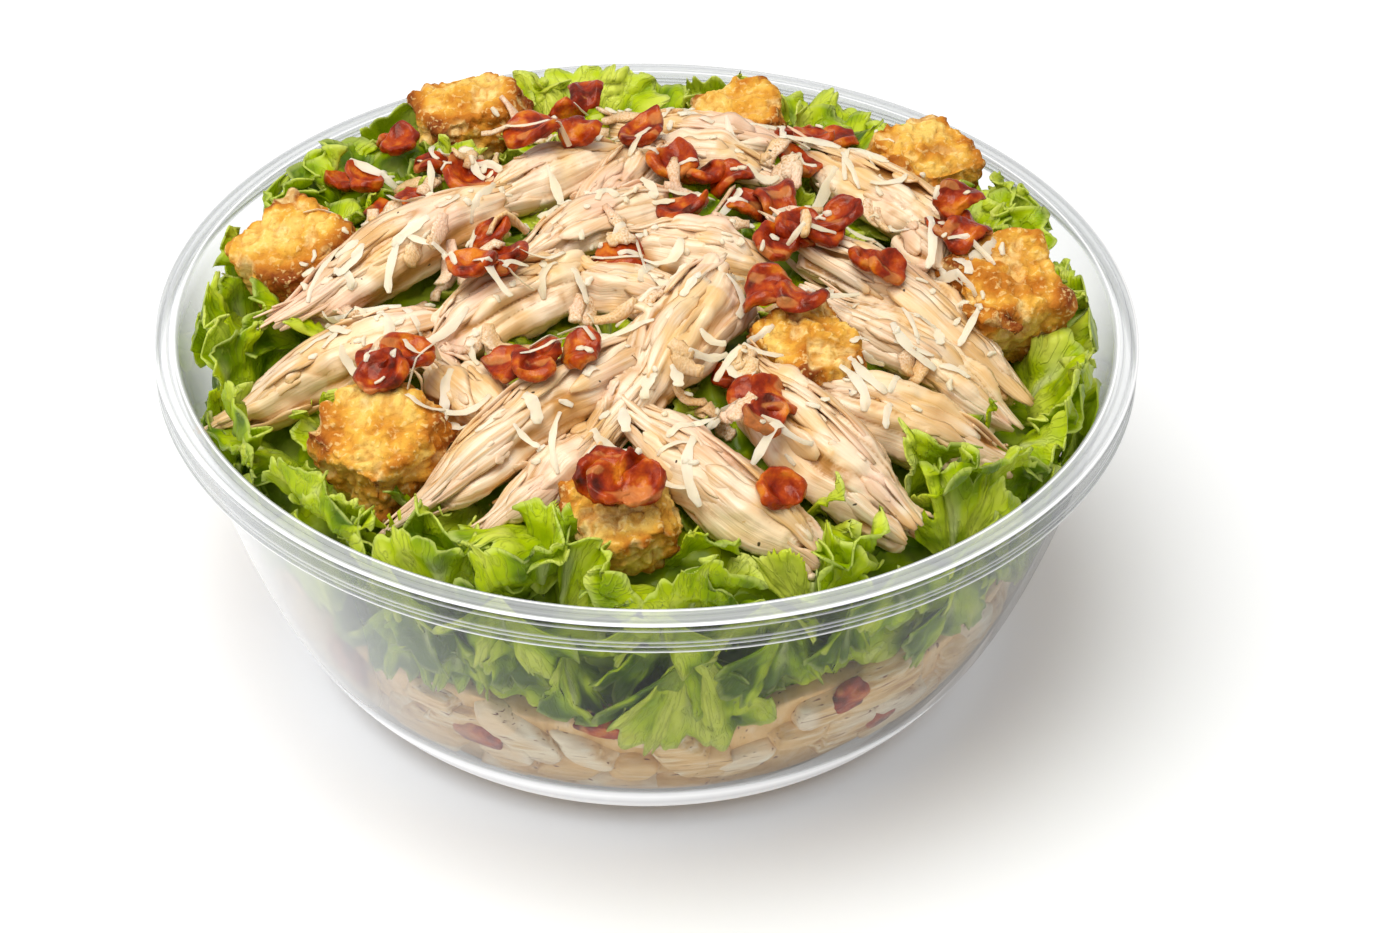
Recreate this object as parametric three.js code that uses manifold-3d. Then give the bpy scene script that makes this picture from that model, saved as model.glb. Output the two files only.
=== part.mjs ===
// A chicken caesar salad in its clear plastic bowl, in millimetres, +Z up.
// The origin is the middle of the bowl's foot, on the surface it stands on; -Y is the front.
// From the bottom up: a bed of chicken and dressing, a heap of frilly lettuce, then croutons,
// shredded chicken, bacon bits and shreds of hard cheese, each laid on what is already there.
import * as THREE from "three";
import { ImprovedNoise } from "three/addons/math/ImprovedNoise.js";
import { mergeVertices } from "three/addons/utils/BufferGeometryUtils.js";
import Module from "manifold-3d";

const wasm = await Module();
wasm.setup();

// ---- Driving dimensions ----

// Bowl
const RIM_RADIUS = 92.5;
const RIM_INNER_RADIUS = 88;
const BOWL_HEIGHT = 70;
const SKIRT_HEIGHT = 6;
const FOOT_RADIUS = 61;
const FOOT_RING_WIDTH = 3;
const FOOT_STEP = 1.5;
const WALL = 1.2;
const WALL_BASE = 48.5;
const WALL_SPREAD = 40;
const WALL_CURVE = 0.35;
const WALL_START = 2.6; // how far below the foot the curve of the wall would begin
const BOWL_SIDES = 32;

// Fit of the food
const GAP = 0.3;
const GROWTH = 0.42; // how far a piece is swollen before it cuts its neighbour, to leave the gap
const WALL_CLEARANCE = 0.6;
const FLOOR_TOP = FOOT_STEP + 1.1;
const FOOD_SIDES = 32; // facets round the bed and the lettuce core

// Bed of chicken mix at the bottom
const BED_FOOT_RADIUS = 58;
const BED_EDGE_HEIGHT = 16;
const BED_TOP = 38;
const BED_BUMP = 1.8;
const BED_SHOULDER = 0.85; // share of the radius where its top starts to fall to the wall

// Lettuce: a core, with leaves on it
const CORE_EDGE_RADIUS = 78;
const CORE_EDGE_HEIGHT = 57;
const DOME_HEIGHT = 21;
const CORE_BUMP = 1.2;
const LEAF_ROOM = 3; // between the core and the wall, where outer leaves hang
const LEAF_THICKNESS = 0.9;

const LEAF_RUFFLE = 0.09; // of its width
const WALL_LEAF_WIDTH = 30;
const WALL_LEAF_TOP = 56;

// Mounds of lettuce between the larger toppings, under bits of bacon: middle, height and width.
const MOUNDS = [
  [-57, 33, 13, 11], [-51, 46, 15, 9], [-43, 37, 12, 8], [-48, 21, 8, 8], [-16, 57, 15, 9],
  [12, 27, 8, 7], [24, 19, 7, 8], [-29, 3, 7, 7], [16, -33, 6, 7], [32, 51, 10, 8],
];

// Toppings
const CROUTON_HEIGHT = 0.86; // of its side
const CHICKEN_HEIGHT = 0.82; // of its width
const CHICKEN_BEND = 0.05; // of its length
const BACON_THICKNESS = 2.4;
const BACON_TWIST = 0.35;
const BACON_SIDES = 6;
const SHRED_WIDTH = 2.2;
const SHRED_THICKNESS = 0.9;
const SHRED_COUNT = 14;
const SHRED_RADIUS = 66;

// Leaves on the heap, row by row from the wall inwards: how many, where they root, their width and
// length, how steeply they rise and how far they lean over, in degrees.
const LEAF_ROWS = [
  { count: 16, root: 79, width: 29, length: 20, lift: 86, curl: 6, across: 4 },
  { count: 12, root: 66, width: 20, length: 15, lift: 66, curl: 30, across: 4 },
  { count: 5, root: 54, width: 18, length: 15, lift: 50, curl: 40, across: 4 },
];

// Dips in the bed's top edge, where lettuce hangs down the wall: angle and depth.
const BED_DIPS = [
  [18, 8], [52, 10], [88, 7], [121, 11], [160, 9], [196, 8],
  [229, 12], [257, 7], [280, 12], [318, 8], [345, 9],
];
const DIP_WIDTH = 8;

// Croutons: middle, side, turn about the upright axis, lean, and the share pressed in.
const CROUTONS = [
  [-37, 61, 20, 20, 10, 0.12],
  [-66, 8, 19, 42, 12, 0.05],
  [-45, -48, 20, 44, 8, 0.12],
  [17, 64, 18, 10, 14, 0.2],
  [53, 44, 19, 35, 10, 0.05],
  [66, -1, 20, 25, 12, 0.05],
  [29, -28, 17, 30, 8, 0.2],
  [-3, -65, 17, 15, 12, 0.2],
];

// Shredded chicken, lowest first: middle, heading of its thick end, length, width, how far the
// thick end is raised, in degrees, and the share pressed in.
const CHICKEN = [
  [-55, -25, 24, 39, 16, 0, 0.1],
  [-21, 30, 40, 32, 16, 0, 0.12],
  [-6, 32, 60, 27, 14, 4, 0.25],
  [9, 53, -15, 33, 13, 0, 0.1],
  [11, 37, 156, 29, 13, 0, 0.35],
  [-26, -17, 30, 35, 16, 0, 0.12],
  [-46, 3, 37, 45, 17, 0, 0.12],
  [-10, 11, 42, 33, 15, 0, 0.2],
  [-4, -12, 170, 28, 13, 0, 0.3],
  [11, 0, 160, 27, 15, 3, 0.2],
  [48, 29, 128, 41, 17, 0, 0.12],
  [56, 7, 126, 19, 13, 0, 0.3],
  [-28, -40, 133, 26, 15, 0, 0.1],
  [49, -39, 176, 34, 16, 0, 0.08],
  [49, -8, 150, 50, 15, 2, 0.12],
  [50, -22, 148, 37, 12, 0, 0.05],
  [-15, -56, 38, 25, 11, 0, 0.03],
  [-18, -47, 35, 46, 15, 0, 0.1],
  [16, -58, 143, 38, 16, 0, 0.08],
  [34, -50, 142, 37, 18, 0, 0.1],
  [3, -30, 65, 46, 18, 4, 0.22],
];

// Bacon bits. Each node is one bit or a few grown together: middle, then for each bit its
// offset, radius and lean.
const BACON = [
  [-58, 33, [[-2, 3, 4.2, 20], [2, -3, 4.3, -30]]],
  [-51, 46, [[-1, 3, 4.2, -25], [1, -3, 4, 25]]],
  [-48, 21, [[-2, -1, 5.4, 12], [3, 2, 4.4, -30]]],
  [-43, 37, [[0, 0, 4.2, 24]]],
  [-35, 27, [[0, 0, 5.4, -26]]],
  [-16, 57, [[-2, -2, 4.2, 30], [2, 3, 3.8, -25]]],
  [-18, 36, [[-5, -3, 5.4, 14], [1, 3, 3.8, -20], [4, -1, 4, 25]]],
  [-2, 41, [[0, 0, 5.2, 15]]],
  [4, 30, [[0, 0, 5.2, -20]]],
  [12, 27, [[-2, 1, 4.2, 22], [3, 0, 4, -28]]],
  [7, 13, [[0, 0, 5.2, 26]]],
  [22, 18, [[-3, 0, 4.8, -12], [2, 1, 4.6, 16]]],
  [29, 5, [[-5, -3, 4.8, 18], [-1, 1, 4.8, -22], [3, -2, 4.6, 16], [7, 3, 4.6, -30]]],
  [42, -5, [[-2, 1, 3.8, 20], [2, -1, 4.2, -24]]],
  [32, 51, [[-4, 1, 4.4, 24], [4, 1, 4.6, -28], [0, -4, 4, 10]]],
  [28, 37, [[0, 0, 5, -15]]],
  [58, 8, [[-3, -2, 4, 15], [3, 1, 4, -25], [1, -4, 3.8, 20], [0, 5, 4, 30]]],
  [-29, 3, [[0, 0, 4, 28]]],
  [-27, -12, [[2, 3, 4.4, -22], [1, -2, 3.6, 24], [-4, -4, 4.6, 12]]],
  [-4, -5, [[0, 0, 5.2, 12]]],
  [-44, -40, [[-2, 2, 4.6, 18], [3, 2, 4.8, -20], [-1, -3, 4.8, 14]]],
  [-20, -40, [[-3, 1, 4.6, 20], [3, 2, 3.8, -24], [1, -3, 4.2, 16]]],
  [-11, -38, [[0, 0, 4.2, -18]]],
  [25, -22, [[-3, 1, 5.2, 20], [3, -1, 4.6, -24]]],
  [21, -48, [[1, 2, 5.2, 14], [0, -4, 4.6, -18]]],
  [16, -34, [[0, 0, 3.8, 22]]],
  [-3, -66, [[-3, 2, 4.8, 18], [3, 1, 4.4, -22], [-2, -3, 4.4, 20], [4, -3, 4.2, -16]]],
  [24, -63, [[0, 0, 4.4, 16]]],
];

const TURN = Math.PI * 2;
const GOLDEN_ANGLE = Math.PI * (3 - Math.sqrt(5));
const noise = new ImprovedNoise();

// ---- Helpers ----

const radians = (degrees) => THREE.MathUtils.degToRad(degrees);
const lerp = THREE.MathUtils.lerp;

function material(color, roughness, extra = {}) {
  return new THREE.MeshStandardMaterial({ color, roughness, metalness: 0, ...extra });
}

// A repeatable draw between 0 and 1.
function seeded(seed) {
  let state = seed * 9301 + 49297;
  return () => {
    state = (state * 1103515245 + 12345) % 2147483648;
    return state / 2147483648;
  };
}

function welded(geometry) {
  const bare = geometry.clone();
  bare.deleteAttribute("normal");
  bare.deleteAttribute("uv");
  return mergeVertices(bare, 1e-4);
}

function solidOf(geometry) {
  const mesh = welded(geometry);
  return new wasm.Manifold(
    new wasm.Mesh({
      numProp: 3,
      vertProperties: mesh.attributes.position.array,
      triVerts: new Uint32Array(mesh.index.array),
    }),
  );
}

function geometryOf(solid) {
  const mesh = solid.getMesh();
  const points = new Float32Array(mesh.numVert * 3);
  for (let i = 0; i < mesh.numVert; i++) {
    const start = i * mesh.numProp;
    points.set(mesh.vertProperties.subarray(start, start + 3), i * 3);
  }
  const geometry = new THREE.BufferGeometry();
  geometry.setAttribute("position", new THREE.BufferAttribute(points, 3));
  geometry.setIndex(new THREE.BufferAttribute(mesh.triVerts.slice(), 1));
  return geometry;
}

function largestPart(solid) {
  const parts = solid.decompose();
  return parts.reduce((best, part) => (part.volume() > best.volume() ? part : best));
}

// The same shape, swollen all round.
function swollen(geometry, by) {
  const result = welded(geometry);
  result.computeVertexNormals();
  const { position, normal } = result.attributes;
  for (let i = 0; i < position.count; i++) {
    position.setXYZ(
      i,
      position.getX(i) + normal.getX(i) * by,
      position.getY(i) + normal.getY(i) * by,
      position.getZ(i) + normal.getZ(i) * by,
    );
  }
  return result;
}

function boxOf(geometry) {
  return new THREE.Box3().setFromBufferAttribute(geometry.attributes.position);
}

// Moves each vertex of a geometry by a function of its place.
function reshaped(geometry, move) {
  const result = welded(geometry);
  const { position } = result.attributes;
  const point = new THREE.Vector3();
  for (let i = 0; i < position.count; i++) {
    move(point.fromBufferAttribute(position, i));
    position.setXYZ(i, point.x, point.y, point.z);
  }
  return result;
}

// A closed shape from rings of points, each ring a function of the turn, with a pole at each end.
// `swap` turns the diagonals round, so that two shapes can share the facets of a common face.
function ringed(bottom, rings, top, sides, swap = false) {
  const points = [...bottom];
  for (const ring of rings) {
    for (let j = 0; j < sides; j++) points.push(...ring((j / sides) * TURN));
  }
  points.push(...top);
  const last = points.length / 3 - 1;
  const faces = [];
  for (let j = 0; j < sides; j++) {
    const next = (j + 1) % sides;
    faces.push(0, 1 + next, 1 + j);
    for (let i = 0; i < rings.length - 1; i++) {
      const a = 1 + i * sides;
      const b = a + sides;
      if (swap) faces.push(a + j, a + next, b + next, a + j, b + next, b + j);
      else faces.push(a + j, a + next, b + j, a + next, b + next, b + j);
    }
    const end = 1 + (rings.length - 1) * sides;
    faces.push(end + j, end + next, last);
  }
  const geometry = new THREE.BufferGeometry();
  geometry.setAttribute("position", new THREE.Float32BufferAttribute(points, 3));
  geometry.setIndex(faces);
  return geometry;
}

// ---- Bowl ----

const wallOuter = (z) =>
  WALL_BASE + WALL_SPREAD * ((z + WALL_START) / BOWL_HEIGHT) ** WALL_CURVE;
const wallInner = (z) => wallOuter(z) - WALL;

// Half of the bowl cut open, from the middle of the underside round the rim to the middle of
// the floor inside.
function bowlProfile() {
  const ringInner = FOOT_RADIUS - FOOT_RING_WIDTH;
  const skirtEnd = BOWL_HEIGHT - SKIRT_HEIGHT;
  const under = BOWL_HEIGHT - WALL;
  const heights = [2, 6, 14, 28, 46, 66];
  const outside = heights.map((z) => [wallOuter(z), z]);
  const inside = heights.slice(1).reverse().map((z) => [wallInner(z), z]);
  return [
    [0, FOOT_STEP], [ringInner - FOOT_STEP, FOOT_STEP], [ringInner, 0], [FOOT_RADIUS, 0],
    ...outside,
    [wallOuter(under), under], [RIM_RADIUS - WALL, under],
    [RIM_RADIUS - WALL, skirtEnd], [RIM_RADIUS - 0.2, skirtEnd],
    [RIM_RADIUS, skirtEnd + 1.9], [RIM_RADIUS - 0.5, skirtEnd + 3.3],
    [RIM_RADIUS, skirtEnd + 4.7], [RIM_RADIUS - 0.4, BOWL_HEIGHT],
    [RIM_INNER_RADIUS, BOWL_HEIGHT], [RIM_INNER_RADIUS - 0.4, BOWL_HEIGHT - 0.8],
    ...inside,
    [FOOT_RADIUS - 1, FLOOR_TOP], [0, FLOOR_TOP],
  ];
}

function bowl() {
  const points = bowlProfile().map(([r, z]) => new THREE.Vector2(r, z));
  return new THREE.LatheGeometry(points, BOWL_SIDES).rotateX(Math.PI / 2);
}

// ---- Bed of chicken mix ----

// How far the top of the bed is lowered at an angle, by the lettuce that hangs there.
function dip(angle) {
  const degrees = THREE.MathUtils.radToDeg(angle);
  return BED_DIPS.reduce((sum, [centre, depth]) => {
    const away = THREE.MathUtils.euclideanModulo(degrees - centre + 180, 360) - 180;
    return sum + depth * Math.exp(-((away / DIP_WIDTH) ** 2));
  }, 0);
}

// Height of the top of the bed; `share` runs from 0 in the middle to 1 at the wall.
function bedTop(angle, share) {
  const x = Math.cos(angle) * share;
  const y = Math.sin(angle) * share;
  return BED_TOP + 3 * noise.noise(x * 3, y * 3, 1.5) - dip(angle) * share ** 4;
}

// Place on the wall side at a height, pressed in between the chunks.
function bedSide(angle, z) {
  const hollow = Math.abs(noise.noise(Math.cos(angle) * 6, Math.sin(angle) * 6, z / 9));
  const r = wallInner(z) - WALL_CLEARANCE - BED_BUMP * hollow;
  return [Math.cos(angle) * r, Math.sin(angle) * r, z];
}

function bed() {
  const base = FLOOR_TOP + GAP;
  const flat = (r, z) => (a) => [Math.cos(a) * r, Math.sin(a) * r, z];
  const side = (share) => (a) => bedSide(a, lerp(BED_EDGE_HEIGHT, bedTop(a, 1), share));
  const top = (share) => (a) => {
    const r = share * wallInner(BED_TOP);
    return [Math.cos(a) * r, Math.sin(a) * r, bedTop(a, share)];
  };
  const rings = [
    flat(BED_FOOT_RADIUS, base), flat(BED_FOOT_RADIUS + 8.5, base + 5),
    side(0), side(0.35), side(0.7), side(1), top(BED_SHOULDER), top(0.5), top(0.2),
  ];
  return ringed([0, 0, base], rings, [0, 0, bedTop(0, 0)], FOOD_SIDES);
}

// ---- Lettuce ----

// The smooth dome that the toppings lie on.
function dome(r) {
  const share = Math.min(r / CORE_EDGE_RADIUS, 1);
  return CORE_EDGE_HEIGHT + DOME_HEIGHT * (1 - share ** 2) ** 0.75;
}

function mound(x, y) {
  return MOUNDS.reduce((sum, [cx, cy, height, width]) => {
    const away = Math.hypot(x - cx, y - cy) / width;
    return Math.max(sum, height * Math.exp(-(away ** 2)));
  }, 0);
}

function domeNormal(x, y) {
  const r = Math.hypot(x, y) + 1e-6;
  const slope = dome(r + 0.5) - dome(r - 0.5);
  return new THREE.Vector3((-slope * x) / r, (-slope * y) / r, 1).normalize();
}

function core() {
  const under = (share) => (a) => {
    const r = share * wallInner(BED_TOP);
    return [Math.cos(a) * r, Math.sin(a) * r, bedTop(a, share) + GAP * 2];
  };
  const edge = (a) => {
    const z = lerp(bedTop(a, BED_SHOULDER), bedTop(a, 1), 0.6) + GAP * 3;
    const r = wallInner(z) - LEAF_ROOM;
    return [Math.cos(a) * r, Math.sin(a) * r, z];
  };
  const side = (share) => (a) => {
    const z = lerp(bedTop(a, BED_SHOULDER) + GAP * 2, CORE_EDGE_HEIGHT, share);
    const r = wallInner(z) - LEAF_ROOM + CORE_BUMP * Math.sin(7 * a + 4 * share);
    return [Math.cos(a) * r, Math.sin(a) * r, z];
  };
  const top = (r) => (a) => {
    const x = Math.cos(a) * r;
    const y = Math.sin(a) * r;
    return [x, y, dome(r) + mound(x, y) + CORE_BUMP * noise.noise(x / 11, y / 11, 4.5)];
  };
  const rings = [
    under(0.2), under(0.5), under(BED_SHOULDER), edge, side(0.5), side(1),
    top(69), top(58), top(46), top(33), top(16),
  ];
  return ringed([0, 0, bedTop(0, 0) + GAP * 2], rings, [0, 0, dome(0)], FOOD_SIDES, true);
}

// A frilly leaf as a closed sheet. `place` gives the middle surface at u (-1 to 1, across) and
// v (0 to 1, from the root to the frilled edge).
function sheet(place, across, along) {
  const grid = [];
  for (let i = 0; i <= along; i++) {
    for (let j = 0; j <= across; j++) grid.push(...place((2 * j) / across - 1, i / along));
  }
  const count = (across + 1) * (along + 1);
  const faces = [];
  for (let i = 0; i < along; i++) {
    for (let j = 0; j < across; j++) {
      const a = i * (across + 1) + j;
      const c = a + across + 1;
      faces.push(a, a + 1, c + 1, a, c + 1, c);
    }
  }
  const middle = new THREE.BufferGeometry();
  middle.setAttribute("position", new THREE.Float32BufferAttribute(grid, 3));
  middle.setIndex(faces);
  middle.computeVertexNormals();
  const { position, normal } = middle.attributes;
  const points = [];
  for (const half of [LEAF_THICKNESS / 2, -LEAF_THICKNESS / 2]) {
    for (let i = 0; i < count; i++) {
      points.push(
        position.getX(i) + normal.getX(i) * half,
        position.getY(i) + normal.getY(i) * half,
        position.getZ(i) + normal.getZ(i) * half,
      );
    }
  }
  const closed = [...faces];
  for (let i = 0; i < faces.length; i += 3) {
    closed.push(faces[i] + count, faces[i + 2] + count, faces[i + 1] + count);
  }
  for (const [a, b] of outline(across, along)) {
    closed.push(b, a, a + count, b, a + count, b + count);
  }
  const geometry = new THREE.BufferGeometry();
  geometry.setAttribute("position", new THREE.Float32BufferAttribute(points, 3));
  geometry.setIndex(closed);
  return geometry;
}

// The edges round a grid, in the direction of its faces.
function outline(across, along) {
  const row = across + 1;
  const edges = [];
  for (let j = 0; j < across; j++) {
    edges.push([j, j + 1]);
    edges.push([along * row + j + 1, along * row + j]);
  }
  for (let i = 0; i < along; i++) {
    edges.push([i * row + across, (i + 1) * row + across]);
    edges.push([(i + 1) * row, i * row]);
  }
  return edges;
}

// Keeps a point of a leaf inside the bowl.
function insideWall(point) {
  const most = wallInner(Math.min(point.z, BOWL_HEIGHT)) - WALL_CLEARANCE - LEAF_THICKNESS / 2;
  const r = Math.hypot(point.x, point.y);
  if (r > most) {
    point.x *= most / r;
    point.y *= most / r;
  }
  return point;
}

// A leaf that grows out of the top of the heap: it rises at `lift`, leans over by `curl`, fans
// out and ruffles more and more towards its free edge.
function topLeaf({ angle, root, width, length, lift, curl, across, phase }) {
  const frame = new THREE.Matrix4().makeRotationZ(angle);
  const start = dome(root) - 3;
  return sheet((u, v) => {
    const fan = 0.5 + 0.5 * Math.sin((v * Math.PI) / 2);
    const slant = lift - (curl * v) / 2;
    const ruffle = LEAF_RUFFLE * width * v * Math.sin(u * 2.4 * Math.PI + phase);
    const reach = length * v * (1 - 0.2 * u * u);
    const point = new THREE.Vector3(
      root + reach * Math.cos(slant) - ruffle * Math.sin(slant),
      (width / 2) * u * fan,
      start + reach * Math.sin(slant) + ruffle * Math.cos(slant),
    );
    return insideWall(point.applyMatrix4(frame)).toArray();
  }, across, 2);
}

// A leaf that hangs between the heap and the wall.
function wallLeaf({ angle, width, top, bottom, phase }) {
  return sheet((u, v) => {
    const z = lerp(top, bottom, v) + 2.5 * u * u * v;
    const half = (width / 2 / wallInner(z)) * (0.6 + 0.4 * Math.sin(v * Math.PI * 0.8));
    const depth = 1.3 + 1.1 * Math.sin(u * 2.3 * Math.PI + phase) + 3.4 * Math.max(0, 0.4 - v);
    const r = wallInner(z) - WALL_CLEARANCE - LEAF_THICKNESS / 2 - depth;
    const turn = angle - u * half;
    return insideWall(new THREE.Vector3(Math.cos(turn) * r, Math.sin(turn) * r, z)).toArray();
  }, 3, 2);
}

// ---- Toppings, each about its own middle ----

// A cube of bread with worn edges and a pitted crust.
function crouton(size, seed) {
  const half = size / 2;
  return reshaped(new THREE.BoxGeometry(size, size, size * CROUTON_HEIGHT, 3, 3, 3), (p) => {
    const cube = Math.max(Math.abs(p.x), Math.abs(p.y), Math.abs(p.z)) / half;
    const round = p.length() / half;
    p.multiplyScalar(lerp(1, (1.18 * cube) / round, 0.5));
    const pits = noise.noise(p.x / 6 + seed * 7, p.y / 6, p.z / 6);
    p.multiplyScalar(1 + 0.1 * pits);
  });
}

// A pulled piece of chicken breast: ridged along its fibres, thick in the middle, drawn out to a
// tip, with loose fibres at its ends. It lies along X.
function chicken(length, width, seed) {
  const draw = seeded(seed);
  const height = width * CHICKEN_HEIGHT;
  const tipped = lerp(0.38, 0.55, draw());
  const spine = (s) => [
    (s - 0.5) * length,
    CHICKEN_BEND * length * Math.sin(s * 3 + seed),
    -CHICKEN_BEND * length * (2 * s - 1) ** 2,
  ];
  const stations = [0.03, 0.2, 0.46, 0.74, 0.94];
  const rings = stations.map((s) => (a) => {
    const swell = Math.sin(Math.PI * lerp(0.03, 0.8, s)) ** tipped;
    const ridge = 1 + 0.13 * noise.noise(Math.cos(a) * 2.2 + seed, Math.sin(a) * 2.2, s * 1.5);
    const y = (width / 2) * swell * ridge * Math.cos(a);
    const z = (height / 2) * swell * ridge * Math.sin(a);
    const [x, sway, sag] = spine(s);
    return [x, y + sway, z + sag];
  });
  const body = ringed(spine(0), rings, spine(1), 6);
  return [body, looseFibre(length, width, seed % 2 ? 1 : -1, draw)];
}

// A fibre that has come away from one side of the drawn-out end.
function looseFibre(length, width, side, draw) {
  const reach = lerp(0.34, 0.44, draw()) * length;
  const thick = lerp(0.18, 0.24, draw()) * width;
  const fibre = new THREE.ConeGeometry(thick, reach, 3).rotateZ(Math.PI / 2);
  fibre.rotateZ(-side * lerp(0.14, 0.3, draw()));
  const along = lerp(-0.39, -0.34, draw()) * length;
  return fibre.translate(along, side * width * 0.16, -0.035 * length);
}

// A bit of bacon: a thick round slice, cupped and twisted by frying.
function baconBit(radius, seed) {
  const t = BACON_THICKNESS;
  const profile = [[0, -0.5 * t], [radius, 0.8 * t], [0, 0.4 * t]];
  const points = profile.map(([r, z]) => new THREE.Vector2(r, z));
  const disc = new THREE.LatheGeometry(points, BACON_SIDES).rotateX(Math.PI / 2);
  return reshaped(disc, (p) => {
    const angle = Math.atan2(p.y, p.x);
    const stretch = 1 + 0.14 * Math.sin(2 * angle + seed * 2.1) + 0.06 * Math.sin(3 * angle + seed);
    p.x *= stretch;
    p.y *= stretch;
    p.z += (BACON_TWIST * (p.x * p.x - p.y * p.y)) / (2 * radius);
  });
}

// ---- Laying the toppings ----

const laid = []; // { name, geometry, grown, box, material }

function keep(name, geometry, look) {
  const grown = geometryOf(solidOf(swollen(geometry, GROWTH)).add(solidOf(geometry)));
  laid.push({ name, geometry, look, grown: solidOf(grown), box: boxOf(grown) });
}

function neighbours(box) {
  return laid.filter((piece) => piece.box.intersectsBox(box));
}

function overlap(geometry) {
  const body = solidOf(geometry);
  return neighbours(boxOf(geometry)).reduce(
    (sum, piece) => sum + body.intersect(piece.grown).volume(),
    0,
  );
}

// Lowers a piece on to what is there until `sink` of its volume presses in, then takes that away.
function lay(name, geometry, x, y, sink, look) {
  const volume = solidOf(geometry).volume();
  let low = dome(Math.hypot(x, y)) - 6;
  let high = low + 60;
  for (let step = 0; step < 12; step++) {
    const z = (low + high) / 2;
    const pressed = overlap(geometry.clone().translate(x, y, z));
    if (pressed > sink * volume) low = z;
    else high = z;
  }
  const placed = geometry.clone().translate(x, y, high);
  const body = neighbours(boxOf(placed)).reduce(
    (rest, piece) => rest.subtract(piece.grown),
    solidOf(placed),
  );
  keep(name, geometryOf(largestPart(body)), look);
}

// Turns a piece to a heading and lays it with the slope of the dome.
function sloped(geometry, x, y, heading, rise, share) {
  const upright = new THREE.Vector3(0, 0, 1);
  const normal = domeNormal(x, y).lerp(upright, 1 - share).normalize();
  return geometry
    .rotateY(-radians(rise))
    .rotateZ(radians(heading))
    .applyQuaternion(new THREE.Quaternion().setFromUnitVectors(upright, normal));
}

function fused(geometries) {
  const solid = geometries.map(solidOf).reduce((sum, part) => sum.add(part));
  return geometryOf(solid);
}

const CRUST = material(0xd79a3c, 0.85);
const MEAT = material(0xe6c6a6, 0.7);
const RASHER = material(0x9c2f1c, 0.35);
const LEAF = material(0x7fae2f, 0.55, { side: THREE.DoubleSide });
const MIX = material(0xead2ae, 0.7);
const PLASTIC = material(0xf3f7f8, 0.12, { transparent: true, opacity: 0.3 });

const number = (index) => String(index + 1).padStart(2, "0");

function layCroutons() {
  CROUTONS.forEach(([x, y, size, turn, lean, sink], index) => {
    const cube = crouton(size, index).rotateX(radians(lean));
    lay("crouton_" + number(index), sloped(cube, x, y, turn, lean, 0.5), x, y, sink, CRUST);
  });
}

function layChicken() {
  CHICKEN.forEach(([x, y, heading, length, width, rise, sink], index) => {
    const piece = fused(chicken(length, width, index + 1));
    const turned = sloped(piece, x, y, heading, rise, 0.9);
    lay("chicken_" + number(index), turned, x, y, sink, MEAT);
  });
}

function layBacon() {
  BACON.forEach(([x, y, bits], index) => {
    const cluster = bits.map(([dx, dy, radius, lean], place) =>
      baconBit(radius, index + place)
        .rotateX(radians(lean))
        .rotateZ(index * GOLDEN_ANGLE)
        .translate(dx, dy, place * 0.8),
    );
    const turned = sloped(fused(cluster), x, y, 0, 0, 0.8);
    lay("bacon_" + number(index), turned, x, y, 0.02, RASHER);
  });
}

// ---- Shreds of cheese, each grown on to the piece it lies on ----

// The highest point of the toppings at a place in plan.
function topAt(x, y) {
  const down = new THREE.Raycaster(new THREE.Vector3(x, y, 200), new THREE.Vector3(0, 0, -1));
  const hits = laid.flatMap((piece) =>
    down.intersectObject(new THREE.Mesh(piece.geometry, piece.look)).map((hit) => ({ ...hit, piece })),
  );
  return hits.sort((a, b) => a.distance - b.distance)[0];
}

// A flat shred that lies on a face, sunk in it by a third of its thickness.
function shred(length, turn, place, normal) {
  const upright = new THREE.Vector3(0, 0, 1);
  const strip = new THREE.BoxGeometry(length, SHRED_WIDTH, SHRED_THICKNESS);
  strip.rotateZ(turn).translate(0, 0, SHRED_THICKNESS / 6);
  strip.applyQuaternion(new THREE.Quaternion().setFromUnitVectors(upright, normal));
  return strip.translate(place.x, place.y, place.z);
}

function scatterShreds() {
  const draw = seeded(5);
  for (let i = 0; i < SHRED_COUNT; i++) {
    const r = SHRED_RADIUS * Math.sqrt((i + 0.5) / SHRED_COUNT);
    const top = topAt(r * Math.cos(i * GOLDEN_ANGLE), r * Math.sin(i * GOLDEN_ANGLE));
    const length = lerp(6, 12, draw());
    const turn = TURN * draw();
    if (!top || top.piece.look === LEAF) continue;
    const strip = shred(length, turn, top.point, top.face.normal);
    const clear = neighbours(boxOf(strip))
      .filter((piece) => piece !== top.piece)
      .every((piece) => solidOf(strip).intersect(piece.grown).volume() === 0);
    if (!clear) continue;
    const grown = fused([top.piece.geometry, strip]);
    laid.splice(laid.indexOf(top.piece), 1);
    keep(top.piece.name, grown, top.piece.look);
  }
}

// ---- Lettuce leaves on the core ----

function freeOfToppings(leaf) {
  return overlap(leaf) === 0;
}

// The largest of a few widths and lengths at which a leaf clears what lies round it.
function fitted(make) {
  for (const [wide, long] of [[1, 1], [0.8, 1], [0.6, 1], [0.6, 0.7], [0.45, 0.5]]) {
    const leaf = make(wide, long);
    if (freeOfToppings(leaf)) return leaf;
  }
  return null;
}

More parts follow.
